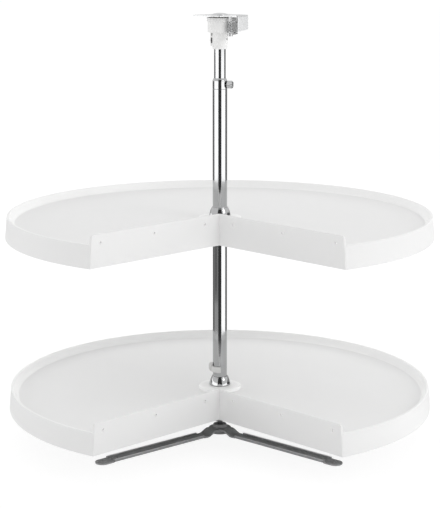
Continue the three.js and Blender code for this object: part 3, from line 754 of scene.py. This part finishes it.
def make_main_pole():
    pole = turned("main_pole_tube", [
        (POLE_BORE, POLE_FOOT, 0.2), (POLE_RADIUS, POLE_FOOT, 0.4),
        (POLE_RADIUS, SLEEVE_FOOT - SEAT_GAP, 0.25), (POLE_BORE, SLEEVE_FOOT - SEAT_GAP, 0.2),
    ])
    for level in (LOWER_TRAY, UPPER_TRAY):
        cut(pole, lying(rod("pin_drill", SEAT_PIN_RADIUS + SEAT_GAP, -16, 16), seat_pin_level(level), 0))
    stand_for(pole, "main_pole", "chrome")


def make_pole_plug():
    """Plug in the main pole's lower end, with a well for the stud and its ball."""
    collar = POLE_FOOT - SEAT_GAP
    foot = collar - 2.5
    top = POLE_FOOT + 24
    well = BALL_LEVEL + BALL_RADIUS + SEAT_GAP
    plug = turned("pole_foot_bush", [
        (PIVOT_BORE, foot, 0.4), (POLE_RADIUS, foot, 0.5), (POLE_RADIUS, collar, 0.3), (POLE_FIT, collar),
        (POLE_FIT, top - 1), (POLE_FIT - 1, top), (0, top), (0, well), (PIVOT_BORE, well),
    ], 96)
    stand_for(plug, "pole_foot_plug", "dark_plastic")


def make_lock_sleeve():
    mouth = INNER_CLEAR + 0.5
    sleeve = turned("lock_sleeve_end", [
        (INNER_CLEAR, SLEEVE_TAIL), (POLE_FIT, SLEEVE_TAIL, 0.3), (POLE_FIT, SLEEVE_FOOT),
        (POLE_RADIUS, SLEEVE_FOOT, 0.3), (POLE_RADIUS, SLEEVE_TOP - 3.4, 1.0),
        (mouth, SLEEVE_TOP, 0.5), (INNER_CLEAR, SLEEVE_TOP, 0.2),
    ])
    cut(sleeve, lying(rod("thumb_drill", THUMB_THREAD + SEAT_GAP, 0, 16), THUMB_LEVEL, THUMB_TURN))
    stand_for(sleeve, "lock_sleeve", "chrome")


def make_inner_pole():
    inner = turned("inner_pole_tube", [
        (INNER_BORE, INNER_FOOT, 0.2), (INNER_RADIUS, INNER_FOOT, 0.3),
        (INNER_RADIUS, INNER_TOP, 0.3), (INNER_BORE, INNER_TOP, 0.2),
    ])
    cut(inner, lying(rod("cross_drill", PIN_RADIUS + SEAT_GAP, -14, 14), PIN_LEVEL, PIN_TURN))
    stand_for(inner, "inner_pole", "chrome")


def make_inner_foot():
    """Foot that guides the inner pole in the main pole."""
    seat = INNER_FOOT - SEAT_GAP
    foot, top = INNER_FOOT - 5, INNER_FOOT + 15
    neck = INNER_BORE - SEAT_GAP
    guide = turned("inner_pole_guide", [
        (0, foot), (POLE_FIT, foot, 0.6), (POLE_FIT, seat, 0.4), (neck, seat), (neck, top - 1),
        (neck - 1, top), (0, top),
    ], 96)
    stand_for(guide, "inner_pole_foot", "nylon")


def make_collar(prefix, tray_level):
    """Bell collar on a tray's hub, as (radius, height[, rounding]) up its flare, and its set screw."""
    foot = tray_level + TRAY_HUB_TOP + SEAT_GAP
    flare = [(18.0, 0.0, 0.5), (18.0, 1.2, 0.5), (17.55, 3.6), (16.9, 6.4), (16.05, 9.0), (15.1, 11.3)]
    flare += [(14.2, 13.1), (13.4, 14.3, 0.5), (13.2, 15.0, 0.3), (POLE_HOLE, 15.0, 0.3)]
    corners = [(POLE_HOLE, foot)] + [(r, foot + z, *rounding) for r, z, *rounding in flare]
    collar = turned(f"{prefix}_bell_collar", corners, 144)
    level = foot + COLLAR_SCREW_RISE
    cut(collar, lying(rod("screw_drill", COLLAR_SCREW_RADIUS + 0.15, 0, 22), level, SET_SCREW_TURN))
    stand_for(collar, f"{prefix}_collar", "chrome", 26)

    tip, head = POLE_HOLE, 19
    screw = turned(f"{prefix}_set_screw", [
        (0, tip), (COLLAR_SCREW_RADIUS - 0.8, tip), (COLLAR_SCREW_RADIUS, tip + 0.9),
        (COLLAR_SCREW_RADIUS, head, 0.35), (0, head),
    ], 48)
    key = rod("hex_key", 1.2, head - 1.6, head + 2, 6)
    stand_for(lying(cut(screw, key), level, SET_SCREW_TURN), f"{prefix}_collar_screw", "screw_steel")


def make_seat(prefix, tray_level):
    top = tray_level + TRAY_TUBE_FOOT - SEAT_GAP
    foot = top - SEAT_DEPTH
    ring = turned(f"{prefix}_seat_collar", [
        (POLE_HOLE, foot, 0.4), (SEAT_RADIUS, foot, 1.0), (SEAT_RADIUS, top, 0.6), (POLE_HOLE, top, 0.3),
    ], 96)
    level = seat_pin_level(tray_level)
    cut(ring, lying(rod("pin_drill", SEAT_PIN_RADIUS + SEAT_GAP, -20, 20), level, 0))
    stand_for(ring, f"{prefix}_seat_ring", "zinc_steel")
    half = SEAT_RADIUS - 0.5
    pin = turned(f"{prefix}_seat_crosspin", [
        (0, -half), (SEAT_PIN_RADIUS, -half, 0.5), (SEAT_PIN_RADIUS, half, 0.5), (0, half),
    ], 40)
    stand_for(lying(pin, level, 0), f"{prefix}_seat_pin", "spring_steel")


def band_round(name, radii, heights, turns, rounding, steps=60):
    """A rounded bar section swept through part of a turn round the pole."""
    put_down()
    middle = (sum(radii) / 2 * MM, 0, sum(heights) / 2 * MM)
    bpy.ops.mesh.primitive_plane_add(size=1, location=middle, rotation=(math.radians(90), 0, 0))
    piece = bpy.context.active_object
    piece.name = piece.data.name = name
    piece.scale = ((radii[1] - radii[0]) * MM, (heights[1] - heights[0]) * MM, 1)
    settle(piece)
    moved(piece, turn=(0, 0, turns[0]))
    edit(piece)
    bpy.ops.mesh.select_all(action="SELECT")
    bpy.ops.mesh.bevel(affect="VERTICES", offset=rounding * MM, segments=3)
    bpy.ops.mesh.select_all(action="SELECT")
    sweep = math.radians(turns[1] - turns[0])
    bpy.ops.mesh.spin(steps=steps, angle=sweep, center=(0, 0, 0), axis=(0, 0, -1))
    bpy.ops.mesh.select_all(action="SELECT")
    bpy.ops.mesh.remove_doubles(threshold=WELD * MM)
    bpy.ops.mesh.fill_holes(sides=0)
    put_down()
    return outwards(piece)


def make_clip():
    """Snap-on C clip with a thumb lobe that stands up at its left."""
    low, top = CLIP_FOOT, CLIP_FOOT + 15
    outer, half = CLIP_RADIUS + 3.3, 4
    band = band_round("pole_clip_band", (POLE_HOLE, CLIP_RADIUS), (low, low + CLIP_HEIGHT), (95, 277), 0.6)
    lobe = block("clip_lobe", (-outer, -half, low + 0.2), (-POLE_HOLE - 0.3, half, top))
    edit(lobe)
    choose("EDGE", lambda at, _: at.x < 0.6 - outer and at.z > top - 1)
    bpy.ops.mesh.bevel(offset=3.4 * MM, segments=6, affect="EDGES")
    choose("EDGE", lambda at, _: at.x < 0.6 - outer and at.z < low + 1)
    bpy.ops.mesh.bevel(offset=5.2 * MM, segments=6, affect="EDGES")
    choose("EDGE", lambda at, _: abs(at.y) > half - 0.1 and at.x < -POLE_HOLE - 0.7)
    bpy.ops.mesh.bevel(offset=0.7 * MM, segments=2, affect="EDGES")
    put_down()
    cut(lobe, rod("pole_room", POLE_HOLE, low - 2, top + 3, 96))
    welded(band, lobe)
    stand_for(band, "pole_clip", "clip_grey", 35)


# ------------------------------------------------------------------ floor bracket and pivot


def along_arm(edge):
    step = edge.verts[1].co - edge.verts[0].co
    return abs(step.x) > abs(step.y) * 5


def across_arm(edge):
    step = edge.verts[1].co - edge.verts[0].co
    return abs(step.y) > 15 * MM


def upright(edge):
    """Up a lip or across its thickness, and not along the arm."""
    step = edge.verts[1].co - edge.verts[0].co
    return abs(step.x) < 1 * MM


def bracket_arm(degrees):
    """One arm as pressed sheet: flat, ramped up to the eye, with its long edges turned up."""
    end = ARM_LENGTH - 0.2
    edge = ARM_WIDTH / 2 - 0.02
    fold = edge - BRACKET_SHEET / 2 - 0.05
    level = BRACKET_SHEET / 2
    put_down()
    middle = (ARM_START + end) / 2 * MM
    bpy.ops.mesh.primitive_plane_add(size=1, location=(middle, 0, level * MM))
    arm = bpy.context.active_object
    arm.name = arm.data.name = "bracket_arm"
    arm.scale = ((end - ARM_START) * MM, edge * 2 * MM, 1)
    settle(arm)
    edit(arm)
    for along in (*ARM_RAMP, LIP_START - LIP_FADE, LIP_START, LIP_END, LIP_END + LIP_FADE):
        bpy.ops.mesh.select_all(action="SELECT")
        bpy.ops.mesh.bisect(plane_co=(along * MM, 0, 0), plane_no=(1, 0, 0))
    choose("VERT", lambda at, _: LIP_START - 1 < at.x < LIP_END + 1)
    bpy.ops.transform.resize(value=(1, fold / edge, 1), center_override=(0, 0, 0))
    choose("VERT", lambda at, _: at.x < ARM_RAMP[0] + 0.5)
    bpy.ops.transform.translate(value=(0, 0, EYE_LEVEL * MM))
    choose("VERT", lambda at, _: at.x > end - 1)
    bpy.ops.mesh.bevel(affect="VERTICES", offset=edge * 0.98 * MM, segments=10)

    def on_fold(at, e):
        return abs(abs(at.y) - fold) < 0.1 and along_arm(e) and LIP_START < at.x < LIP_END

    choose("EDGE", on_fold)
    bpy.ops.mesh.extrude_edges_move(TRANSFORM_OT_translate={"value": (0, 0, LIP_RISE * MM)})
    choose("EDGE", lambda at, e: on_fold(at, e) and at.z < level + 0.1)
    bpy.ops.mesh.bevel(offset=1.7 * MM, segments=4, affect="EDGES")
    choose("EDGE", lambda at, e: across_arm(e) and ARM_RAMP[0] - 1.5 < at.x < ARM_RAMP[1] + 0.5)
    bpy.ops.mesh.bevel(offset=2.5 * MM, segments=4, affect="EDGES")
    put_down()
    applied(arm, "SOLIDIFY", thickness=(BRACKET_SHEET - 0.04) * MM, offset=0, use_even_offset=True)
    edit(arm)
    choose("EDGE", lambda at, e: at.z > LIP_TOP - 0.5 and LIP_START < at.x < LIP_END and upright(e))
    bpy.ops.mesh.bevel(offset=0.9 * MM, segments=3, affect="EDGES")
    put_down()
    applied(arm, "BEVEL", width=0.3 * MM, segments=2, limit_method="ANGLE", angle_limit=math.radians(50))
    slot = block("arm_slot", (ARM_SLOT[0], -ARM_SLOT_HALF, -4), (ARM_SLOT[1], ARM_SLOT_HALF, 12),
                 ARM_SLOT_HALF - 0.01, 6, lambda at, _: abs(at.z - 4) < 1)
    holes = [moved(rod("arm_hole", ARM_HOLE_RADIUS, -4, 12, 24), x=along) for along in ARM_HOLES]
    floor_room = block("floor_room", (0, -20, -5), (ARM_LENGTH + 8, 20, 0))
    cut(arm, joined(slot, *holes), floor_room)
    return moved(arm, turn=(0, 0, degrees))


def make_bracket():
    low = EYE_LEVEL
    high = EYE_LEVEL + BRACKET_SHEET
    eye = turned("floor_bracket_pressing", [
        (EYE_BORE, low, 0.3), (EYE_RADIUS, low, 0.4), (EYE_RADIUS, high, 0.5), (EYE_BORE, high, 0.3),
    ], 96)
    arms = joined(bracket_arm(-90 - ARM_SPREAD), bracket_arm(-90 + ARM_SPREAD))
    cut(arms, rod("eye_room", EYE_BORE + 0.3, 0, 20, 96))
    stand_for(welded(eye, arms), "base_bracket", "bracket_steel", 35)


def make_pivot():
    shelf = EYE_LEVEL - SEAT_GAP
    foot = turned("pivot_foot_ring", [
        (8.3, 0, 0.3), (16, 0, 0.6), (16, shelf, 1.4), (PIVOT_BORE, shelf), (PIVOT_BORE, 2.5), (8.3, 2.5),
    ], 96)
    stand_for(foot, "pivot_foot", "dark_plastic")
    neck = EYE_BORE - SEAT_GAP
    step = EYE_LEVEL + BRACKET_SHEET + SEAT_GAP
    boss = turned("pivot_boss_step", [
        (PIVOT_BORE, EYE_LEVEL), (neck, EYE_LEVEL), (neck, step), (11.5, step, 0.5),
        (11.5, step + 6, 1.3), (7.4, step + 6, 0.3), (6.9, step + 5.3, 0.3), (PIVOT_BORE, step + 5.3, 0.3),
    ], 96)
    stand_for(boss, "pivot_boss", "dark_plastic")
    stud = turned("pivot_stud_bar", [
        (0, 0), (8, 0, 0.4), (8, 2.2, 0.4), (PIVOT_RADIUS, 2.2, 0.3), (PIVOT_RADIUS, STUD_TOP, 0.9),
        (0, STUD_TOP),
    ], 64)
    stand_for(stud, "pivot_stud", "screw_steel")
    arc = [around(BALL_RADIUS, angle) for angle in range(-81, 82, 9)]
    corners = [(0, BALL_LEVEL - BALL_RADIUS)] + [(r, BALL_LEVEL + z) for r, z in arc]
    corners += [(0, BALL_LEVEL + BALL_RADIUS)]
    stand_for(turned("bearing_ball_steel", corners, 40), "bearing_ball", "spring_steel", 60)


# ------------------------------------------------------------------ thumb screw


def make_thumb_screw():
    screw = turned("thumb_screw_knob", [
        (0, INNER_CLEAR), (THUMB_THREAD - 0.6, INNER_CLEAR), (THUMB_THREAD, 10.6), (THUMB_THREAD, 13.2, 0.2),
        (5.4, 13.2, 0.3), (6.5, 14.2, 0.4), (6.5, 21.0, 0.8), (5.3, 22.2, 0.5), (3.6, 22.2, 0.3),
        (3.0, 21.6, 0.3), (0, 21.6),
    ], 120)
    flutes = [moved(rod("flute", 0.62, 12, 24, 10), *around(6.72, 18 * i)) for i in range(20)]
    cut(screw, joined(*flutes))
    stand_for(lying(screw, THUMB_LEVEL, THUMB_TURN), "thumb_screw", "chrome", 30)


# ------------------------------------------------------------------ cam hub


def make_cam_hub():
    """Tapered sleeve, cam and flange in one turning, with a boss on the sleeve's left for the screw."""
    flange = CAM_RADIUS + 1.3
    ceiling = INNER_TOP + SEAT_GAP
    hub = turned("cam_hub_moulding", [
        (INNER_CLEAR, HUB_FOOT, 0.3), (HUB_RADIUS - 1.4, HUB_FOOT, 0.6), (HUB_RADIUS, HUB_FOOT + 9, 1.5),
        (HUB_RADIUS, CAM_FOOT, 0.8), (CAM_RADIUS, CAM_FOOT, 0.7), (CAM_RADIUS, CAM_TOP),
        (flange, CAM_TOP, 0.3), (flange, HUB_TOP, 1.0), (PIVOT_BORE, HUB_TOP, 0.4),
        (PIVOT_BORE, ceiling), (INNER_CLEAR, ceiling),
    ], 144)
    boss = block("pocket_boss", (-15.5, -5, HUB_FOOT + 5), (-10.5, 5, CAM_FOOT + 1), 0.6, 3,
                 lambda at, _: at.x < -14 and at.z < CAM_FOOT)
    cut(boss, block("pocket", (-14.6, -6, CLAMP_LEVEL - 4.5), (-10.5, 3.6, CLAMP_LEVEL + 4.5), 0.4, 2))
    cut(boss, block("window", (-14.0, -6, CLAMP_LEVEL + 7.5), (-11.6, 0, CLAMP_LEVEL + 11.5), 0.3, 2))
    welded(hub, boss)
    notch = moved(rod("cam_notch", 5.5, CAM_FOOT - 2, CAM_TOP, 48), *around(22.5, ROLLER_TURN))
    screw_drill = lying(rod("screw_drill", CLAMP_RADIUS + 0.3, -18, -9.4), CLAMP_LEVEL, 0)
    pin_drill = lying(rod("pin_drill", PIN_RADIUS + 0.15, -14.2, 14.2), PIN_LEVEL, PIN_TURN)
    cut(hub, notch, screw_drill, pin_drill)
    stand_for(hub, "cam_hub", "hub_white", 30)

    half = HUB_RADIUS - 0.2
    pin = turned("hub_pin", [(0, -half), (PIN_RADIUS, -half, 0.3), (PIN_RADIUS, half, 0.3), (0, half)], 32)
    stand_for(lying(pin, PIN_LEVEL, PIN_TURN), "hub_cross_pin", "screw_steel")
    head = 15.9
    screw = turned("hub_pocket_screw", [
        (0, INNER_CLEAR), (CLAMP_RADIUS, INNER_CLEAR), (CLAMP_RADIUS, head, 0.3), (0, head),
    ], 40)
    cut(screw, block("slot", (-3, -0.4, head - 1), (3, 0.4, head + 1.1)))
    stand_for(lying(screw, CLAMP_LEVEL, 180), "hub_clamp_screw", "screw_steel")


# ------------------------------------------------------------------ top plate and detent


def folded_sheet(sheet):
    """The plate, a flange down its longer side and a narrow return, as one folded sheet."""
    middle = PLATE_TOP - sheet / 2
    near, far = -PLATE_HALF, PLATE_HALF - sheet / 2
    put_down()
    place = ((near + far) / 2 * MM, (PLATE_REACH - PLATE_HALF) / 2 * MM, middle * MM)
    bpy.ops.mesh.primitive_plane_add(size=1, location=place)
    plate = bpy.context.active_object
    plate.name = plate.data.name = "top_plate_folded"
    plate.scale = ((far - near) * MM, (PLATE_REACH + PLATE_HALF) * MM, 1)
    settle(plate)
    edit(plate)
    bpy.ops.mesh.select_all(action="SELECT")
    bpy.ops.mesh.bisect(plane_co=(0, PLATE_FOLD * MM, 0), plane_no=(0, 1, 0))
    choose("EDGE", lambda at, _: at.x > far - 0.1 and at.y > PLATE_FOLD + 2)
    bpy.ops.mesh.extrude_edges_move(TRANSFORM_OT_translate={"value": (0, 0, -26.1 * MM)})
    choose("VERT", lambda at, _: at.z < middle - 20 and at.y > 20)
    bpy.ops.transform.translate(value=(0, 0, 3 * MM))
    bpy.ops.mesh.select_all(action="SELECT")
    bpy.ops.mesh.bisect(plane_co=(0, 0, PLATE_RELIEF * MM), plane_no=(0, 0, 1))

    def on_return(at):
        return at.x > far - 0.1 and at.z < PLATE_RELIEF - 1

    choose("EDGE", lambda at, _: at.y < PLATE_FOLD + 0.5 and on_return(at))
    bpy.ops.mesh.extrude_edges_move(TRANSFORM_OT_translate={"value": (-9.7 * MM, 0, 0)})
    choose("EDGE", lambda at, _: at.x > far - 0.1 and at.y > PLATE_FOLD + 2 and at.z > middle - 0.1)
    bpy.ops.mesh.bevel(offset=1.7 * MM, segments=4, affect="EDGES")
    choose("EDGE", lambda at, _: at.y < PLATE_FOLD + 0.1 and on_return(at))
    bpy.ops.mesh.bevel(offset=1.5 * MM, segments=4, affect="EDGES")
    choose("VERT", lambda at, _: (abs(at.x) > far - 0.1 and at.y < -30) or (at.x < near + 0.1 and at.y > 33))
    bpy.ops.mesh.bevel(affect="VERTICES", offset=2.5 * MM, segments=5)
    choose("VERT", lambda at, _: at.z < PLATE_RELIEF and (at.y > 33 or at.x < 21))
    bpy.ops.mesh.bevel(affect="VERTICES", offset=1.2 * MM, segments=4)
    put_down()
    return plate


def make_top_plate():
    sheet = PLATE_TOP - PLATE_FOOT
    plate = applied(folded_sheet(sheet), "SOLIDIFY", thickness=sheet * MM, offset=0, use_even_offset=True)
    edit(plate)
    choose("VERT", lambda at, _: at.z > PLATE_TOP)
    bpy.ops.transform.resize(value=(1, 1, 0), center_override=(0, 0, PLATE_TOP * MM))
    put_down()
    applied(plate, "BEVEL", width=0.2 * MM, segments=2, limit_method="ANGLE", angle_limit=math.radians(50))
    low, high = PLATE_FOOT - 2, PLATE_TOP + 1
    for x, y in PLATE_HOLES:
        countersink = turned("plate_drill", [
            (0, low), (2.4, low), (2.4, PLATE_TOP - 0.9), (3.4, PLATE_TOP + 0.1), (3.4, high), (0, high),
        ], 32)
        cut(plate, moved(countersink, x=x, y=y))
    moved(plate, turn=(0, 0, -45))
    sunk = PLATE_TOP - PIN_HEAD_SINK
    room = PIN_HEAD_RADIUS + SEAT_GAP
    seat = turned("head_seat", [
        (0, low), (PIVOT_BORE, low), (PIVOT_BORE, sunk), (room, sunk), (room, high), (0, high),
    ], 96)
    cut(plate, seat, moved(rod("post_drill", POST_RADIUS + 0.15, low, PLATE_TOP + 2, 32), *POST))
    stand_for(plate, "top_plate", "zinc_steel", 32)


def make_top_pivot():
    head = PLATE_TOP - PIN_HEAD_SINK + SEAT_GAP
    dome = [around(1, angle) for angle in range(10, 90, 10)]
    foot = HUB_TOP - 10
    corners = [(0, foot), (PIVOT_RADIUS - 1, foot), (PIVOT_RADIUS, foot + 1), (PIVOT_RADIUS, head)]
    corners += [(PIN_HEAD_RADIUS, head, 0.2)]
    corners += [(PIN_HEAD_RADIUS * r, head + 0.5 + 3 * z) for r, z in dome] + [(0, head + 3.5)]
    stand_for(turned("top_pivot_rivet", corners, 96), "top_pivot_pin", "zinc_steel", 40)
    low = HUB_TOP + SEAT_GAP
    high = low + 1.8
    washer = turned("pivot_washer", [
        (PIVOT_BORE, low, 0.2), (11, low, 0.3), (11, high, 0.3), (PIVOT_BORE, high, 0.2),
    ], 96)
    stand_for(washer, "pivot_spacer", "nylon")


def make_lever():
    """Flat lever with round ends, from the post to the roller's axle."""
    length = math.dist(POST, ROLLER)
    heading = math.degrees(math.atan2(ROLLER[1] - POST[1], ROLLER[0] - POST[0]))
    top = LEVER_LEVEL + LEVER_SHEET
    middle = LEVER_SHEET / 2
    lever = block("detent_lever_plate", (-LEVER_HALF, -LEVER_HALF, LEVER_LEVEL),
                  (length + LEVER_HALF, LEVER_HALF, top), LEVER_HALF - 0.01, 12,
                  lambda at, _: abs(at.z - LEVER_LEVEL - middle) < 0.1)
    edit(lever)
    choose("EDGE", lambda at, _: abs(at.z - LEVER_LEVEL - middle) > middle - 0.05)
    bpy.ops.mesh.bevel(offset=0.3 * MM, segments=2, affect="EDGES")
    put_down()
    post_hole = rod("post_hole", POST_RADIUS + SEAT_GAP, 670, 690, 40)
    axle_hole = moved(rod("axle_hole", AXLE_RADIUS + 0.15, 670, 690, 40), x=length)
    cut(lever, post_hole, axle_hole)
    stand_for(moved(lever, *POST, turn=(0, 0, heading)), "detent_arm", "zinc_steel")


def make_detent():
    foot = LEVER_LEVEL - SEAT_GAP - 2
    post = turned("detent_rivet_post", [
        (0, foot), (4.6, foot, 0.6), (4.6, foot + 2, 0.3), (POST_RADIUS, foot + 2),
        (POST_RADIUS, PLATE_TOP, 0.2), (0, PLATE_TOP),
    ], 64)
    stand_for(moved(post, *POST), "detent_post", "zinc_steel")
    make_lever()
    low, high = CAM_FOOT + 1.5, CAM_TOP - 1.5
    bore, wheel = AXLE_RADIUS + SEAT_GAP, 4.5
    roller = turned("detent_cam_roller", [
        (bore, low, 0.2), (wheel, low, 0.6), (wheel, high, 0.6), (bore, high, 0.2),
    ], 64)
    stand_for(moved(roller, *ROLLER), "detent_roller", "nylon")
    under, over = low - SEAT_GAP, high + SEAT_GAP
    collar = AXLE_RADIUS + 1
    axle = turned("roller_rivet_axle", [
        (0, LEVER_LEVEL - 1), (AXLE_RADIUS, LEVER_LEVEL - 1, 0.3), (AXLE_RADIUS, under - 1.4),
        (collar, under - 1.4, 0.2), (collar, under, 0.2), (AXLE_RADIUS, under), (AXLE_RADIUS, over),
        (collar, over, 0.2), (collar, CAM_TOP, 0.5), (0, CAM_TOP),
    ], 48)
    stand_for(moved(axle, *ROLLER), "roller_axle", "spring_steel")


def make_spring():
    """Torsion coil: a wire section screwed up round the post, with a straight leg at each end."""
    put_down()
    bpy.ops.mesh.primitive_circle_add(vertices=12, radius=COIL_WIRE * MM, location=(COIL_RADIUS * MM, 0, 0),
                                      rotation=(math.radians(90), 0, 0))
    coil = bpy.context.active_object
    coil.name = coil.data.name = "detent_coil"
    settle(coil)
    applied(coil, "SCREW", angle=2 * math.pi, screw_offset=COIL_PITCH * MM, iterations=COIL_TURNS, steps=32,
            render_steps=32, use_merge_vertices=False)
    edit(coil)
    for end, side in ((0.0, -1), (COIL_PITCH * COIL_TURNS, 1)):
        choose("EDGE", lambda at, e: len(e.link_faces) == 1 and abs(at.z - end) < COIL_WIRE + 0.4)
        leg = (0, side * COIL_LEG * MM, side * 0.6 * MM)
        bpy.ops.mesh.extrude_edges_move(TRANSFORM_OT_translate={"value": leg})
        bpy.ops.mesh.edge_face_add()
    put_down()
    moved(coil, turn=(0, 0, POST_TURN))
    moved(coil, *POST, COIL_FOOT)
    stand_for(coil, "detent_spring", "spring_steel", 45)


# ------------------------------------------------------------------ studio

# Sizes and places in the studio are in metres.
WHITE = (1, 1, 1, 1)
CARD_TOP = 0.001
CARD_EDGE = 3.2
CARD_NEAR = 0.45
CARD_STAND = 0.45
CARD_BRIGHT = 2.25


def seen_as_background(finish):
    """1 where the camera, gloss or glass looks, 0 where the light is only thrown on."""
    path = finish.node("ShaderNodeLightPath")
    camera, gloss, glass = path.outlets(("Is Camera Ray", "Is Glossy Ray", "Is Transmission Ray"))
    return finish.node("ShaderNodeMath", {"operation": "MAXIMUM"}, {0: camera, 1: gloss + glass})


def mixed(finish, amount, first, second):
    return finish.node("ShaderNodeMixShader", sockets={0: amount, 1: first, 2: second})


def glow(finish, strength):
    return finish.node("ShaderNodeEmission", sockets={"Color": WHITE, "Strength": strength})


def make_floor():
    put_down()
    bpy.ops.mesh.primitive_plane_add(size=60, location=(0, 0, -0.0002))
    floor = bpy.context.active_object
    floor.name = floor.data.name = "studio_floor"
    finish = new_finish("studio_floor_white")
    matt = finish.node("ShaderNodeBsdfDiffuse", sockets={"Color": (0.9, 0.9, 0.9, 1)})
    white = mixed(finish, seen_as_background(finish) * 0.8, matt, glow(finish, 1.1))
    floor.data.materials.append(finish.shaded(white))


def card_round(name, outline, turns, tone):
    """Card laid on the ground round the pole, or stood up, that only gloss shows.

    Its outline is a list of (distance from the pole, height). It shows from above and from the
    pole's side, and is clear from below and behind.
    """
    put_down()
    bpy.ops.mesh.primitive_plane_add(size=0.001, location=(0, -outline[0][0], outline[0][1]))
    card = bpy.context.active_object
    card.name = card.data.name = name
    edit(card)
    bpy.ops.mesh.select_all(action="SELECT")
    bpy.ops.mesh.merge(type="CENTER")
    for before, after in zip(outline, outline[1:]):
        step = (0, before[0] - after[0], after[1] - before[1])
        bpy.ops.mesh.extrude_vertices_move(TRANSFORM_OT_translate={"value": step})
    bpy.ops.mesh.select_all(action="SELECT")
    sweep = math.radians(turns[1] - turns[0])
    bpy.ops.mesh.spin(steps=48, angle=sweep, center=(0, 0, 0), axis=(0, 0, -1))
    put_down()
    settle(card)
    moved(card, turn=(0, 0, turns[0]))
    card.visible_camera = card.visible_diffuse = card.visible_shadow = card.visible_transmission = False
    finish = new_finish(name)
    behind = finish.node("ShaderNodeNewGeometry", out="Backfacing")
    clear = finish.node("ShaderNodeBsdfTransparent", sockets={"Color": WHITE})
    card.data.materials.append(finish.shaded(mixed(finish, behind, glow(finish, tone), clear)))


def lying_card(name, near, far, turns, tone, level=CARD_TOP):
    card_round(name, [(near, level), (far, level)], turns, tone)


def bent_card(name, near, height, turns, tone):
    """A card that lies out to the studio's edge and stands up there."""
    outline = [(near, CARD_TOP), (CARD_EDGE, CARD_TOP), (CARD_EDGE, height)]
    card_round(name, outline, turns, tone)


def make_cards():
    """Turns run anticlockwise, seen from above, from the camera's side of the pole."""
    front, right, back, left = (-25, 25), (25, 95), (95, 265), (265, 335)
    bent_card("card_front", 0.62, 4.0, front, 0.065)
    lying_card("card_front_near", 0.2, 0.62, front, 0.39)
    bent_card("card_right", CARD_NEAR, CARD_STAND, right, CARD_BRIGHT)
    bent_card("card_back", CARD_NEAR, 0.62, back, 0.26)
    bent_card("card_left", 2.2, CARD_STAND, left, CARD_BRIGHT)
    card_round("card_left_high", [(3.1, CARD_STAND), (3.1, 0.7)], (235, 335), CARD_BRIGHT)
    lying_card("card_left_middle", 1.0, 2.2, left, 0.31)
    lying_card("card_left_line", 1.1, 2.2, (288, 302), 0.05, 0.002)
    lying_card("card_left_near", CARD_NEAR, 1.0, left, 0.55)


def make_world():
    world = bpy.data.worlds.new("studio_room")
    bpy.context.scene.world = world
    finish = Finish(world)
    light = finish.node("ShaderNodeBackground", sockets={"Color": WHITE, "Strength": 0.79})
    white = finish.node("ShaderNodeBackground", sockets={"Color": WHITE, "Strength": 1.0})
    shader = mixed(finish, seen_as_background(finish), light, white)
    finish.node("ShaderNodeOutputWorld", sockets={"Surface": shader})


def add_lamp(name, place, aim, size, power):
    """A soft box at a place that faces the point it is aimed at, with its power in watts."""
    data = bpy.data.lights.new(name, "AREA")
    data.shape = "RECTANGLE"
    data.size, data.size_y = size
    data.energy = power
    lamp = bpy.data.objects.new(name, data)
    bpy.context.scene.collection.objects.link(lamp)
    lamp.location = place
    lamp.rotation_euler = (Vector(aim) - Vector(place)).to_track_quat("-Z", "Y").to_euler()
    return lamp


def make_lamps():
    """The key light shows in polished metal. The fills don't, because the cards are seen there."""
    add_lamp("key_right", (2.6, -1.9, 2.2), (0, 0, 0.3), (1.4, 1.4), 18)
    fills = [
        add_lamp("front_soft", (-0.4, -3.4, 1.3), (0, 0, 0.25), (2.4, 1.4), 3),
        add_lamp("low_right", (2.4, 1.2, 0.7), (0, 0, 0.15), (1.6, 0.9), 15),
        add_lamp("low_left", (-2.4, 1.2, 0.7), (0, 0, 0.15), (1.6, 0.9), 15),
        add_lamp("low_back", (0.0, 2.8, 0.8), (0, 0, 0.15), (2.0, 0.9), 16),
    ]
    for lamp in fills:
        lamp.visible_glossy = False


def make_studio():
    make_floor()
    make_cards()
    make_world()
    make_lamps()
    bpy.context.scene.view_settings.view_transform = "Standard"


# ------------------------------------------------------------------ build

place_camera()
make_trays()
make_main_pole()
make_lock_sleeve()
make_inner_pole()
make_pole_plug()
make_inner_foot()
for prefix, level in (("lower", LOWER_TRAY), ("upper", UPPER_TRAY)):
    make_collar(prefix, level)
    make_seat(prefix, level)
make_clip()
make_bracket()
make_pivot()
make_thumb_screw()
make_cam_hub()
make_top_plate()
make_top_pivot()
make_detent()
make_spring()
make_studio()
put_down()
